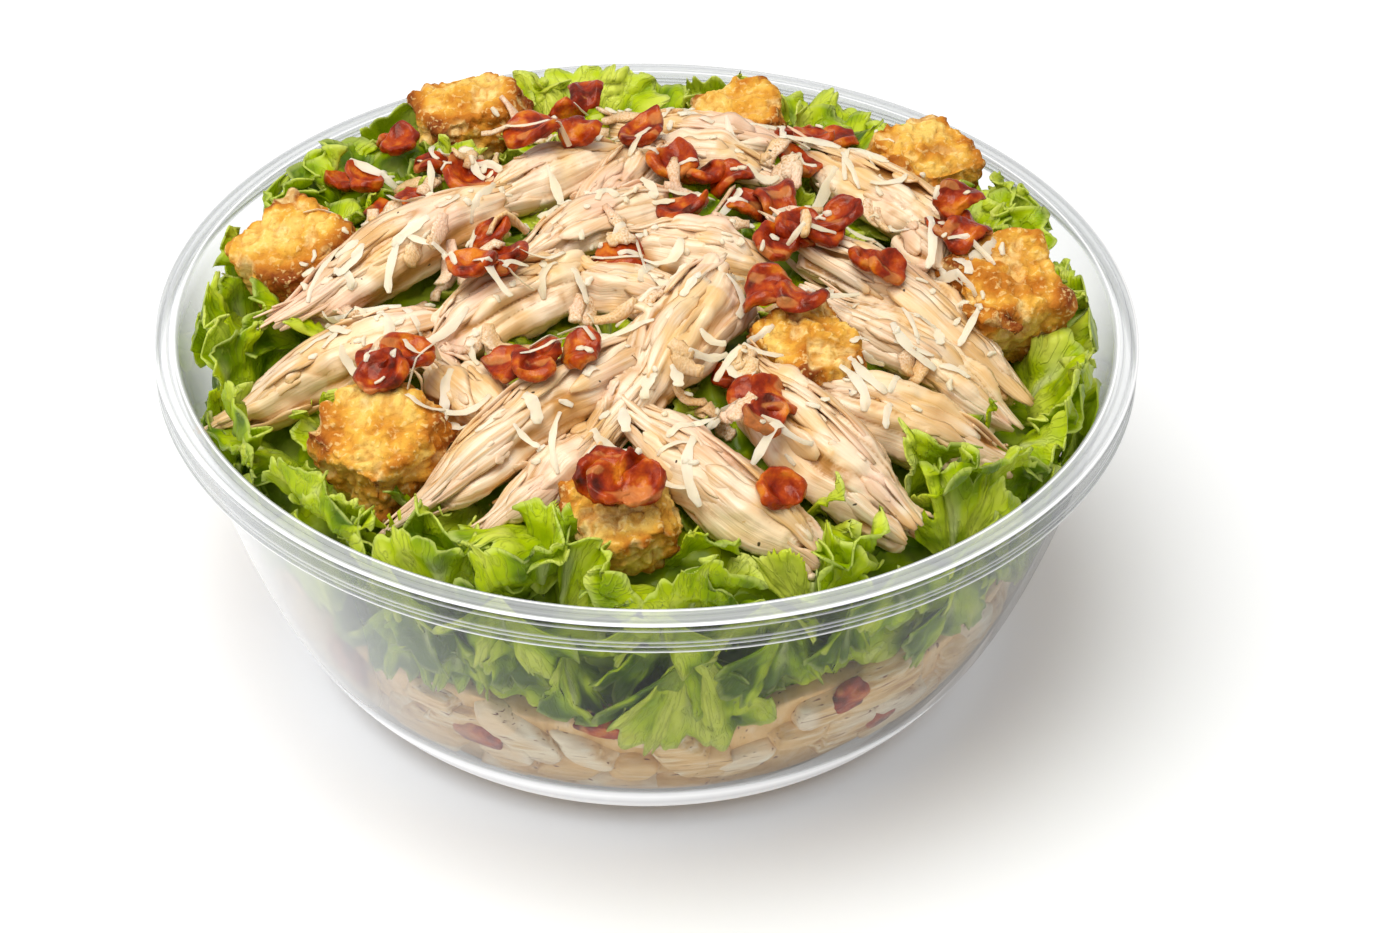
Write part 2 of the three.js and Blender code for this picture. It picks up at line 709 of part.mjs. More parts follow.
function topLeaves() {
  return LEAF_ROWS.flatMap(({ count, root, width, length, lift, curl, across }, row) => {
    const draw = seeded(row + 3);
    return Array.from({ length: count }, (_, i) => {
      const spec = {
        angle: ((i + row * 0.5 + 0.3 * draw()) / count) * TURN,
        root: root + draw(),
        lift: radians(lift + 10 * (draw() - 0.5)),
        curl: radians(curl * lerp(0.7, 1.4, draw())),
        phase: TURN * draw(),
        across,
      };
      const most = width * lerp(0.85, 1.15, draw());
      const reach = length * lerp(0.85, 1.1, draw());
      return fitted((wide, long) => topLeaf({ ...spec, width: most * wide, length: reach * long }));
    });
  });
}

function wallLeaves() {
  const draw = seeded(11);
  return BED_DIPS.map(([centre]) => {
    const angle = radians(centre);
    const spec = { angle, top: WALL_LEAF_TOP, phase: TURN * draw() };
    const bottom = bedTop(angle, 1) + 1.5;
    return fitted((wide, long) =>
      wallLeaf({ ...spec, width: WALL_LEAF_WIDTH * wide, bottom: lerp(spec.top, bottom, long) }),
    );
  });
}

// ---- The salad ----

const salad = new THREE.Group();

function add(name, geometry, look) {
  const mesh = new THREE.Mesh(geometry, look);
  mesh.name = name;
  salad.add(mesh);
}

const bedGeometry = bed();
const coreGeometry = core();
keep("lettuce", coreGeometry, LEAF);
layCroutons();
layChicken();
layBacon();
scatterShreds();

const toppings = laid.filter((piece) => piece.name !== "lettuce");
laid.splice(0, laid.length, ...toppings);
keep("chicken_bed", bedGeometry, MIX);
const leaves = [...topLeaves(), ...wallLeaves()].filter(Boolean);
const lettuce = leaves.reduce((sum, leaf) => sum.add(solidOf(leaf)), solidOf(coreGeometry));

add("bowl", bowl(), PLASTIC);
add("chicken_bed", bedGeometry, MIX);
add("lettuce", geometryOf(largestPart(lettuce)), LEAF);
toppings
  .sort((a, b) => a.name.localeCompare(b.name))
  .forEach(({ name, geometry, look }) => add(name, geometry, look));

export default salad;
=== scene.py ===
# %% [markdown]
# # A chicken caesar salad in a clear bowl
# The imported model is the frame: it says where the bowl and every topping lie. This script keeps
# that frame and gives each thing its real surface, from the plastic up to the last shred of cheese.
# A finished piece takes the place of the plain solid that it was made from. Lengths below are in
# millimetres, and MM turns them into the metres that Blender works in.

import math
import bpy
import numpy as np
from mathutils import Matrix, Vector
from mathutils.bvhtree import BVHTree


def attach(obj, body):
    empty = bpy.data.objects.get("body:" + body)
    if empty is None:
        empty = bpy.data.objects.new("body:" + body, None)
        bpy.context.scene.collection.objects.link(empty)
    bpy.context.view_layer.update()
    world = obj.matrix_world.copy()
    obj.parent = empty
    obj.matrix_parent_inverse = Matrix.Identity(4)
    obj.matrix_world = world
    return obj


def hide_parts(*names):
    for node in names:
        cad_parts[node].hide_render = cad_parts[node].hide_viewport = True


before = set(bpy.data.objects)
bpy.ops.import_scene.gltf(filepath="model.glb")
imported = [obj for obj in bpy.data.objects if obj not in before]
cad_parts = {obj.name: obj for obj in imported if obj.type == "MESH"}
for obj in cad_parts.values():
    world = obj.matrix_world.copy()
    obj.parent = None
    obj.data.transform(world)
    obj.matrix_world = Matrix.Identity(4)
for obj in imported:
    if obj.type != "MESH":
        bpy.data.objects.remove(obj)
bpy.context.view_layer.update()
MM = 0.001
TURN = 2 * math.pi  # one full turn
UP = np.array([0.0, 0.0, 1.0])
DOWN = Vector((0, 0, -1))
MERGE = 0.01 * MM  # points nearer to each other than this are one point
nodes = sorted(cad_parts)
print(len(nodes), "nodes in the frame")

# %% [markdown]
# ## Working by hand, in code
# Most pieces are made with the same few moves: choose a piece, change its mesh, apply a modifier,
# and read or write its points. Operators act on all that is selected, so each move first clears
# the selection and then chooses its one piece. Points are read and written as one array, because
# food has many thousands of them and a loop over them would be slow.


# %% Choosing and changing a piece
def choose(piece):
    """Selects one piece and nothing else."""
    bpy.ops.object.select_all(action="DESELECT")
    piece.select_set(True)
    bpy.context.view_layer.objects.active = piece


def apply_modifier(piece, kind, **settings):
    modifier = piece.modifiers.new(kind.title(), kind)
    for key, value in settings.items():
        setattr(modifier, key, value)
    choose(piece)
    bpy.ops.object.modifier_apply(modifier=modifier.name)


def smooth_shading(piece, sharp_degrees=180.0):
    choose(piece)
    if sharp_degrees < 180:
        bpy.ops.object.shade_smooth_by_angle(angle=math.radians(sharp_degrees))
    else:
        bpy.ops.object.shade_smooth()


# %% Points in and out
def points_of(piece):
    """A row of x, y and z in millimetres for each point."""
    flat = np.empty(len(piece.data.vertices) * 3)
    piece.data.vertices.foreach_get("co", flat)
    return flat.reshape(-1, 3) / MM


def normals_of(piece):
    flat = np.empty(len(piece.data.vertices) * 3)
    piece.data.vertex_normals.foreach_get("vector", flat)
    return flat.reshape(-1, 3)


def set_points(piece, points):
    piece.data.vertices.foreach_set("co", (points * MM).ravel())
    piece.data.update()


# %% Starting from a solid, and finishing a piece
def copy_of(node, name):
    """A free copy of a solid of the frame, with its loose triangles merged."""
    piece = bpy.data.objects.new(name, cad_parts[node].data.copy())
    bpy.context.collection.objects.link(piece)
    piece.data.materials.clear()
    choose(piece)
    bpy.ops.object.mode_set(mode="EDIT")
    bpy.ops.mesh.select_all(action="SELECT")
    bpy.ops.mesh.remove_doubles(threshold=MERGE)
    bpy.ops.object.mode_set(mode="OBJECT")
    return piece


def note(piece, name, values):
    """Keeps a value, or a row of three, for each point, for the finish to read."""
    values = np.asarray(values, dtype=np.float32)
    kind = "FLOAT" if values.ndim == 1 else "FLOAT_VECTOR"
    field = "value" if values.ndim == 1 else "vector"
    layer = piece.data.attributes.new(name, kind, "POINT")
    layer.data.foreach_set(field, values.ravel())


def complete(piece, finish, replaced=()):
    """Gives a piece its finish and its body, and hides the solid that it stands for, where it has one.
    """
    piece.data.materials.clear()
    piece.data.materials.append(finish)
    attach(piece, "root")
    if replaced:
        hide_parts(*replaced)
    print(piece.name, len(piece.data.polygons), "faces")


# %% [markdown]
# ## Noise
# Furrows, crumbs and blisters come from noise: a random height at each corner of a grid, blended
# smoothly in between. Blender's own noise could give it one point at a time. This one takes all
# points of a piece at once, and the same seed always gives the same surface.

# %% Noise that shapes the food
def noise(points, seed=0):
    """Smooth noise from -1 to 1 at each row of points, with cells one unit wide."""
    cell = np.floor(points).astype(np.int64)
    part = points - cell
    ease = part * part * (3 - 2 * part)
    total = np.zeros(len(points))
    for corner in np.ndindex(2, 2, 2):
        at = cell + corner
        code = (at[:, 0] * 73856093) ^ (at[:, 1] * 19349663) ^ (at[:, 2] * 83492791)
        code = (code ^ (seed * 668265263) ^ (code >> 13)) * 1274126177 & 0x7FFFFFFF
        code = (code ^ (code >> 15)) * 1911520717 & 0x7FFFFFFF
        height = ((code >> 8) & 0xFFFF) / 32767.5 - 1
        total += height * np.prod(np.where(corner, ease, 1 - ease), axis=1)
    return total


def smoothstep(low, high, value):
    """Rises smoothly from 0 at low to 1 at high."""
    share = np.clip((value - low) / (high - low), 0, 1)
    return share * share * (3 - 2 * share)


halves = np.arange(12).reshape(4, 3) / 2
print("noise at four places:", noise(halves).round(2))

# %% [markdown]
# ## Shader maths in Python
# A finish is a Principled shader with a few nodes before it. Drawn by hand these are boxes joined by
# wires, and in code they soon get hard to follow. So Wire wraps a socket, and sums on it add Math
# nodes, and Finish.node makes any other node, with its settings first and then its inputs.


# %% A wire
class Wire:
    """A socket whose arithmetic adds Math nodes."""

    def __init__(self, finish, socket):
        self.finish = finish
        self.socket = socket

    def maths(self, operation, a, b=0.0):
        return self.finish.node("ShaderNodeMath", {"operation": operation}, {0: a, 1: b})

    def __add__(self, other):
        return self.maths("ADD", self, other)

    def __sub__(self, other):
        return self.maths("SUBTRACT", self, other)

    def __rsub__(self, other):
        return self.maths("SUBTRACT", other, self)

    def __mul__(self, other):
        return self.maths("MULTIPLY", self, other)

    def __pow__(self, other):
        return self.maths("POWER", self, other)

    __radd__ = __add__
    __rmul__ = __mul__

    def between(self, low, high):
        """Rises from 0 at low to 1 at high."""
        settings = {"interpolation_type": "SMOOTHSTEP"}
        return self.finish.node("ShaderNodeMapRange", settings, {0: self, 1: low, 2: high})


# %% A finish
class Finish:
    """A material built on one Principled shader."""

    def __init__(self, name, **constants):
        self.material = bpy.data.materials.new(name)
        self.material.use_nodes = True
        self.tree = self.material.node_tree
        self.skin = self.tree.nodes["Principled BSDF"]
        self.output = self.tree.nodes["Material Output"]
        for key, value in constants.items():
            self.skin.inputs[key.replace("_", " ")].default_value = value

    def link(self, value, socket):
        if isinstance(value, Wire):
            self.tree.links.new(value.socket, socket)
        elif isinstance(value, tuple) and len(value) == 3 and socket.type == "RGBA":
            socket.default_value = (*value, 1)
        else:
            socket.default_value = value

    def node(self, kind, settings=None, inputs=None, output=0):
        made = self.tree.nodes.new(kind)
        for key, value in (settings or {}).items():
            if key == "stops":
                self.set_stops(made.color_ramp, value)
            else:
                setattr(made, key, value)
        for key, value in (inputs or {}).items():
            self.link(value, made.inputs[key])
        return Wire(self, made.outputs[output])

    def set_stops(self, ramp, stops):
        while len(ramp.elements) < len(stops):
            ramp.elements.new(0.5)
        for element, (place, colour) in zip(ramp.elements, stops):
            element.position = place
            element.color = (*colour, 1)

    def places(self):
        return self.node("ShaderNodeTexCoord", output="Object")

    def noted(self, name, output="Fac"):
        return self.node("ShaderNodeAttribute", {"attribute_name": name}, output=output)

    def clouds(self, places, scale, detail=2.0):
        """Cloudy noise from 0 to 1, drawn out along an axis where its scale is smaller."""
        placed = self.node("ShaderNodeMapping", None, {"Vector": places, "Scale": scale})
        inputs = {"Vector": placed, "Scale": 1.0, "Detail": detail}
        return self.node("ShaderNodeTexNoise", None, inputs)

    def speckle(self, size, detail=2.0):
        """Cloudy noise whose blots are about `size` millimetres."""
        return self.clouds(self.places(), (0.5 / (size * MM),) * 3, detail)

    def ramp(self, value, stops):
        return self.node("ShaderNodeValToRGB", {"stops": stops}, {0: value})

    def mixed(self, share, below, above):
        settings = {"data_type": "RGBA"}
        return self.node("ShaderNodeMix", settings, {0: share, 6: below, 7: above}, output=2)

    def blended(self, share, below, above):
        """One shader over another."""
        return self.node("ShaderNodeMixShader", None, {0: share, 1: below, 2: above})

    def size_of(self, value):
        """A value without its sign."""
        return self.node("ShaderNodeMath", {"operation": "ABSOLUTE"}, {0: value})

    def colour(self, wire):
        self.link(wire, self.skin.inputs["Base Color"])

    def rough(self, wire):
        self.link(wire, self.skin.inputs["Roughness"])

    def relief(self, height, depth, strength=1.0):
        """Bumps `depth` millimetres high."""
        inputs = {"Height": height, "Distance": depth * MM, "Strength": strength}
        bump = self.node("ShaderNodeBump", None, inputs)
        self.link(bump, self.skin.inputs["Normal"])

    def told(self):
        """Prints how large the finish has grown."""
        print(self.material.name, "has", len(self.tree.nodes), "shader nodes")


# %% [markdown]
# ## Camera and light
# The camera looks down at the bowl from the front through a long lens, and is rolled by a degree. A
# long lens from farther off keeps the round rim from looking stretched. The light is a white room
# with a large soft lamp nearly overhead, a little to the left and the front, and a weaker lamp low
# on the left. So the shadow is soft and falls to the right, and the food still has some relief.

# %% Camera
CAMERA_RISE = math.radians(37.40)  # above the horizon
CAMERA_ROLL = math.radians(1.15)
CAMERA_AWAY = 600
LOOK_AT = (10.5, 0, 32.7)
LENS = 78.69  # mm, on a sensor 36 mm wide
NEAREST = 0.05  # m

camera_place = (
    LOOK_AT[0] * MM,
    (LOOK_AT[1] - CAMERA_AWAY * math.cos(CAMERA_RISE)) * MM,
    (LOOK_AT[2] + CAMERA_AWAY * math.sin(CAMERA_RISE)) * MM,
)
tilt = Matrix.Rotation(math.pi / 2 - CAMERA_RISE, 4, "X")
roll = Matrix.Rotation(CAMERA_ROLL, 4, "Z")
bpy.ops.object.camera_add(location=camera_place, rotation=(tilt @ roll).to_euler())
camera = bpy.context.object
camera.data.lens = LENS
camera.data.clip_start = NEAREST
bpy.context.scene.camera = camera
print("camera at", [round(value, 3) for value in camera_place])

# %% Room and lamps
ROOM_LIGHT = 0.50
LAMP_AIM = Vector((0, 0, 0.05))
WARM_WHITE = (1.0, 0.98, 0.95)

world = bpy.data.worlds.new("white_room")
bpy.context.scene.world = world
world.use_nodes = True
room = world.node_tree.nodes["Background"]
room.inputs["Color"].default_value = (1, 1, 1, 1)
room.inputs["Strength"].default_value = ROOM_LIGHT
bpy.context.scene.view_settings.view_transform = "Standard"


def lamp(name, place, size, power, colour=(1, 1, 1)):
    """A round soft lamp at a place in metres, aimed at the bowl."""
    bpy.ops.object.light_add(type="AREA", location=place)
    light = bpy.context.object
    light.name = name
    light.data.shape = "DISK"
    light.data.size = size
    light.data.energy = power
    light.data.color = colour
    aim = LAMP_AIM - Vector(place)
    light.rotation_euler = aim.to_track_quat("-Z", "Y").to_euler()
    print(name, "lamp,", power, "watts")


lamp("key", (-0.15, -0.14, 0.95), 0.8, 8.6, WARM_WHITE)
lamp("side", (-1.0, -0.25, 0.3), 0.9, 3.0)

# %% Floor
FLOOR_SIZE = 6  # m
PAPER_WHITE = (0.92, 0.93, 0.943, 1)  # a little cool, to even out what warm food throws on it
PAPER_GLOW = 0.02

bpy.ops.mesh.primitive_plane_add(size=FLOOR_SIZE, location=(0, 0, 0))
floor = bpy.context.object
floor.name = "floor"
paper = Finish("white_paper", Roughness=0.9, Specular_IOR_Level=0.0)
paper.skin.inputs["Base Color"].default_value = PAPER_WHITE
paper.skin.inputs["Emission Color"].default_value = (1, 1, 1, 1)
paper.skin.inputs["Emission Strength"].default_value = PAPER_GLOW
paper.told()
floor.data.materials.append(paper.material)

# %% [markdown]
# ## The bowl
# A thermoformed bowl is one thin wall of clear plastic: a ring foot, a wall that swells as it rises,
# a flat flange and a short skirt with two beads. It could be shaped from a cylinder, but the
# beads and grooves are only tenths of a millimetre deep, and have to be even all round. So one
# outline is drawn point by point with extrude, and spun round the axis.

# %% Bowl dimensions
FOOT_RADIUS = 61
FOOT_RING = 3
FOOT_STEP = 1.5  # the floor of the bowl stands this far above the foot
FLOOR_TOP = 2.6
BOWL_HEIGHT = 70
WALL = 1.2
WALL_BASE = 48.5
WALL_SPREAD = 40
WALL_CURVE = 0.35
WALL_START = 2.6  # how far below the foot the curve of the wall would begin
RIM_RADIUS = 92.5
RIM_INNER = 88
SKIRT_TOP = 69.5
SKIRT_END = 64


def wall_outer(z):
    share = (np.clip(z, 0, BOWL_HEIGHT) + WALL_START) / BOWL_HEIGHT
    return WALL_BASE + WALL_SPREAD * share**WALL_CURVE


def wall_inner(z):
    return wall_outer(z) - WALL


print("the wall is", round(float(wall_outer(0)), 1), "mm from the axis at the foot")

# %% Bowl outline
LIP_LINES = (68.6, 66.1, 65.3)  # heights of the fine beads round the skirt
LIP_BEAD = 0.35
END_BEAD = 0.5  # the rounded lower end of the skirt
GROOVES = (91.1, 89.6)  # radii of the fine grooves in the flange
GROOVE_DEPTH = 0.3
GROOVE_WIDTH = 0.2
FLANGE_STEP = 0.15  # from one point of the flange to the next
UNDER_FLANGE = 68.7


def bump(value, place, width):
    """A smooth bump, 1 high, at a place."""
    return np.exp(-(((value - place) / width) ** 2))


def foot_outline():
    ring = FOOT_RADIUS - FOOT_RING
    return [
        (0, FOOT_STEP), (ring - 1.2, FOOT_STEP), (ring - 0.3, 0.3), (ring + 0.4, 0),
        (FOOT_RADIUS - 0.2, 0), (FOOT_RADIUS + 0.3, 0.2), (FOOT_RADIUS + 0.7, 0.5),
    ]


def skirt_outline():
    skirt = []
    for z in np.linspace(SKIRT_END + 0.2, SKIRT_TOP, 38):
        beads = sum(bump(z, line, 0.22) for line in LIP_LINES)
        out = LIP_BEAD * beads + END_BEAD * bump(z, SKIRT_END, 0.5)
        skirt.append((RIM_RADIUS - 0.5 + min(out, 0.5), z))
    return skirt


def flange_outline():
    flange = []
    for r in np.arange(91.5, RIM_INNER, -FLANGE_STEP):
        grooves = sum(bump(r, groove, GROOVE_WIDTH) for groove in GROOVES)
        flange.append((r, BOWL_HEIGHT - GROOVE_DEPTH * grooves))
    return flange


def bowl_outline():
    """Out along the foot, up the wall, round the skirt and flange, and down the inside."""
    low = np.linspace(0.95, 5, 12)
    high = np.linspace(5, BOWL_HEIGHT - 2.2, 22)[1:]
    outside = [(wall_outer(z), z) for z in (*low, *high)]
    inside = [(wall_inner(z), z) for z in (*low[6:], *high)][::-1]
    under = [
        (wall_outer(UNDER_FLANGE), UNDER_FLANGE), (91.0, UNDER_FLANGE), (91.4, 68.2),
        (91.3, SKIRT_END + 0.3), (91.7, SKIRT_END), (92.2, SKIRT_END + 0.05),
    ]
    lip = [(RIM_RADIUS - 0.15, 69.65), (92.1, 69.85), (91.8, BOWL_HEIGHT)]
    step = [(RIM_INNER, BOWL_HEIGHT - 0.05), (RIM_INNER - 0.3, 69.7), (RIM_INNER - 0.4, 69.2)]
    bottom = [(60, FLOOR_TOP), (0, FLOOR_TOP)]
    rim = [*under, *skirt_outline(), *lip, *flange_outline(), *step]
    return [*foot_outline(), *outside, *rim, *inside, *bottom]


# %% Bowl, drawn and spun
BOWL_STEPS = 180


def spun(name, outline, steps):
    """Extrudes a point along an outline and spins the line into a closed shell."""
    bpy.ops.object.select_all(action="DESELECT")
    bpy.ops.mesh.primitive_plane_add(size=1)
    piece = bpy.context.object
    piece.name = name
    bpy.ops.object.mode_set(mode="EDIT")
    bpy.ops.mesh.merge(type="CENTER")
    start = np.array([outline[0][0], 0, outline[0][1]]) * MM
    bpy.ops.transform.translate(value=start)
    for (r0, z0), (r1, z1) in zip(outline, outline[1:]):
        step = ((r1 - r0) * MM, 0, (z1 - z0) * MM)
        bpy.ops.mesh.extrude_region_move(TRANSFORM_OT_translate={"value": step})
    bpy.ops.mesh.select_all(action="SELECT")
    bpy.ops.mesh.spin(steps=steps, angle=TURN, center=(0, 0, 0), axis=(0, 0, 1))
    bpy.ops.mesh.select_all(action="SELECT")
    bpy.ops.mesh.remove_doubles(threshold=MERGE)
    bpy.ops.mesh.normals_make_consistent(inside=False)
    bpy.ops.object.mode_set(mode="OBJECT")
    return piece


bowl = spun("clear_bowl", bowl_outline(), BOWL_STEPS)
smooth_shading(bowl, 50)
print("bowl,", len(bowl_outline()), "points in its outline")

# %% [markdown]
# ### How clear plastic looks
# Clear plastic shows by what it reflects and bends. A true glass shader would bend every ray, which
# is slow, and the exported model would lose it. Most light goes straight through anyway. Along thin
# edges, beads and grooves real plastic gathers light into bright and dark lines, so here these lines
# are painted. Four values are kept for each point: how milky the plastic is there, how bright a
# painted highlight line it holds, how dark a painted shade line, and how much painted glow it gives
# off, standing in for the light that runs inside the wall and comes out where it is seen edge on.

# %% Where the plastic is milky
SHEEN_HEADING = math.radians(-155)  # a painted reflection whitens the wall on this side
SHEEN_WIDTH = 0.6  # of a radian
LOW_WALL = 16  # up to here the foot shows in the wall

bowl_points = points_of(bowl)
rise = bowl_points[:, 2]
reach = np.hypot(bowl_points[:, 0], bowl_points[:, 1])
outer = normals_of(bowl)[:, :2] * bowl_points[:, :2]
facing_out = outer.sum(axis=1) > 0
on_skirt = (reach > 91.85) & (rise > SKIRT_END - 0.1) & (rise < 69.6)
on_flange = (rise > 69.4) & (reach > RIM_INNER - 0.7) & ~on_skirt
on_foot = (rise < LOW_WALL) & (reach > FOOT_RADIUS - 0.5) & facing_out
on_wall = facing_out & (reach < 89) & (rise > 2) & (rise < 66)

CLEAR_MILK = 0.003
SKIRT_MILK = 0.05
FLANGE_MILK = 0.42
FLOOR_MILK = 0.1
foot_milk = np.interp(rise, [0, 8, 12, LOW_WALL], [0.25, 0.12, 0.06, CLEAR_MILK])
milk = np.where(on_skirt, SKIRT_MILK, CLEAR_MILK)
milk = np.where(on_flange, FLANGE_MILK, milk)
milk = np.where(on_foot, foot_milk, milk)
milk = np.where((rise < 3) & (reach < FOOT_RADIUS - 1), FLOOR_MILK, milk)
note(bowl, "milk", milk)
print("milky points:", int((milk > CLEAR_MILK).sum()), "of", len(milk))

# %% Bright and dark lines in the plastic
# A painted reflection on one side of the wall: through the bright lines and the glow it whitens the wall
# there.
around = np.arctan2(bowl_points[:, 1], bowl_points[:, 0])
turned_away = (around - SHEEN_HEADING + math.pi) % TURN - math.pi
painted_sheen = bump(turned_away, 0, SHEEN_WIDTH) * on_wall

# Painted highlights: bright lines along the beads, the lower lip, the flange edges and the foot rings.
skirt_glints = 0.6 * sum(bump(rise, line, 0.2) for line in LIP_LINES)
skirt_glints = skirt_glints + 1.6 * bump(rise, SKIRT_END, 0.3)
flange_glints = bump(reach, 92.1, 0.22) + bump(reach, RIM_INNER + 0.5, 0.16)
foot_glints = 0.8 * bump(rise, 4.5, 1.0) + 0.8 * bump(rise, 10, 1.3)
glint = 0.25 * painted_sheen + on_skirt * skirt_glints
glint = glint + on_flange * flange_glints + on_foot * foot_glints
note(bowl, "glint", np.clip(glint, 0, 1))

# Painted shade: dark lines under the flange edge, in the grooves, at the inner step and in the foot.
skirt_shade = 0.36 + 0.7 * bump(rise, 69.35, 0.25)
flange_shade = 0.02 + 0.45 * sum(bump(reach, groove, GROOVE_WIDTH) for groove in GROOVES)
flange_shade = flange_shade + 0.6 * bump(reach, RIM_INNER, 0.2)
foot_shade = 0.3 * bump(rise, 7.2, 1.2)
smoke = on_skirt * skirt_shade + on_flange * flange_shade + on_foot * foot_shade
note(bowl, "smoke", np.clip(smoke, 0, 1))

# Painted glow: the foot band, the skirt's bright lines and the sheened side give off light, though they
# are no lamp.
low_band = smoothstep(1.5, 3.5, rise) * smoothstep(15.5, 12, rise)
foot_glow = on_foot * low_band * (0.55 + 0.5 * foot_glints)
glow = 0.34 * painted_sheen + 0.3 * on_skirt * glint + foot_glow
note(bowl, "glow", np.clip(glow, 0, 1))
print("glowing points:", int((glow > 0.1).sum()))

# %% Clear plastic
plastic = Finish("clear_plastic", Roughness=0.25)
plastic.skin.inputs["Emission Strength"].default_value = 0.5
slant = plastic.node("ShaderNodeLayerWeight", None, {"Blend": 0.5}, output="Facing")
bright = plastic.noted("glint")
veil = plastic.speckle(40)
# Painted shade: the body is grey where the wall is seen edge on.
edges = plastic.ramp(slant, [
    (0.0, (0.80, 0.82, 0.85)), (0.55, (0.72, 0.74, 0.77)), (0.9, (0.44, 0.45, 0.47)),
])
plastic.colour(plastic.mixed(bright, edges, (0.97, 0.97, 0.97)))
# Painted glow, shown where the wall is seen at a slant.
lit = plastic.noted("glow") * slant.between(0.3, 0.62)
plastic.link(plastic.mixed(lit, (0, 0, 0), (1, 1, 1)), plastic.skin.inputs["Emission Color"])

# %% Light through the plastic
milky = plastic.noted("milk") * (0.6 + 0.8 * veil)
# Painted light and shade: bright lines and glow whiten the body, and where the wall is seen edge on it
# shows more grey body and grey see-through.
haze = milky + 0.9 * bright + 1.4 * lit + 0.36 * slant**4.5
dim = plastic.noted("smoke") + 0.8 * slant**5
mirror = 0.45 * slant**5
clear = plastic.node("ShaderNodeBsdfTransparent", None, {"Color": (0.965, 0.97, 0.97, 1)})
# The grey see-through that draws the painted shade lines.
shaded_through = plastic.node("ShaderNodeBsdfTransparent", None, {"Color": (0.42, 0.43, 0.44, 1)})
gloss = plastic.node("ShaderNodeBsdfGlossy", None, {"Color": (1, 1, 1, 1), "Roughness": 0.04})
seen = plastic.blended(dim, clear, shaded_through)
body = plastic.blended(haze, seen, Wire(plastic, plastic.skin.outputs[0]))
coated = plastic.blended(mirror, body, gloss)
plastic.link(coated, plastic.output.inputs["Surface"])
plastic.told()
complete(bowl, plastic.material, ["bowl"])

# %% [markdown]
# ## The lie of the heap
# Several pieces need to know how high the lettuce stands and how high the mix comes up the wall. The
# heap is a dome with a few mounds on it, and the top of the mix is a wave with dips, where lettuce
# hangs over it. Each is a small function, so that every piece agrees on them.

# %% Heap dimensions
HEAP_EDGE_RADIUS = 78
HEAP_EDGE_HEIGHT = 57
HEAP_RISE = 21
HEAP_ROUND = 0.75  # below 1 the dome is full, with steep sides
BED_TOP = 38
BED_WAVE = 2.0
# Where the top of the mix dips: heading in degrees, and depth.
BED_DIPS = [
    (18, 8), (52, 10), (88, 7), (121, 11), (160, 9), (196, 8),
    (229, 12), (257, 7), (280, 12), (318, 8), (345, 9),
]
DIP_WIDTH = 8  # degrees
# Mounds of lettuce: place in plan, height and width.
MOUNDS = [
    (-57, 33, 13, 11), (-51, 46, 15, 9), (-43, 37, 12, 8), (-48, 21, 8, 8), (-16, 57, 15, 9),
    (12, 27, 8, 7), (24, 19, 7, 8), (-29, 3, 7, 7), (16, -33, 6, 7), (32, 51, 10, 8),
]


def mound(x, y):
    """How far a mound of lettuce lifts the heap at a place in plan."""
    lifts = [h * np.exp(-((x - cx) ** 2 + (y - cy) ** 2) / w**2) for cx, cy, h, w in MOUNDS]
    return np.max(lifts, axis=0)


def heap_height(r):
    """Height of the dome at a distance from the axis."""
    share = np.minimum(r / HEAP_EDGE_RADIUS, 1)
    return HEAP_EDGE_HEIGHT + HEAP_RISE * (1 - share**2) ** HEAP_ROUND


def mix_top(angle):
    """Height of the chicken mix at the wall, lower where lettuce hangs over it."""
    degrees = np.degrees(angle)
    height = BED_TOP + BED_WAVE * np.sin(angle * 7)
    for centre, depth in BED_DIPS:
        away = (degrees - centre + 180) % 360 - 180
        height = height - depth * bump(away, 0, DIP_WIDTH)
    return height


print("the heap is", heap_height(0), "mm high in the middle")

# %% [markdown]
# ## Pulled chicken
# Each piece is a bundle of muscle fibres torn along its grain. It could be sculpted by hand, but
# there are many pieces and each needs its own grain. The frame's solid gives its body: a copy is
# rebuilt as fine even faces, and furrows are pressed in along its length. Loose strips then lie over
# it and fray past its ends, because torn edges show against what is behind them, and a bump in the
# finish would leave the outline smooth.

# %% How a piece of chicken lies
FINE = 0.6  # size of the faces on a body
SPINE_STOPS = 12


def remeshed(piece, size, smoothing):
    """Rebuilds a piece as even faces of a size in millimetres, and rounds its edges."""
    apply_modifier(piece, "REMESH", mode="VOXEL", voxel_size=size * MM)
    apply_modifier(piece, "SMOOTH", factor=0.5, iterations=smoothing)


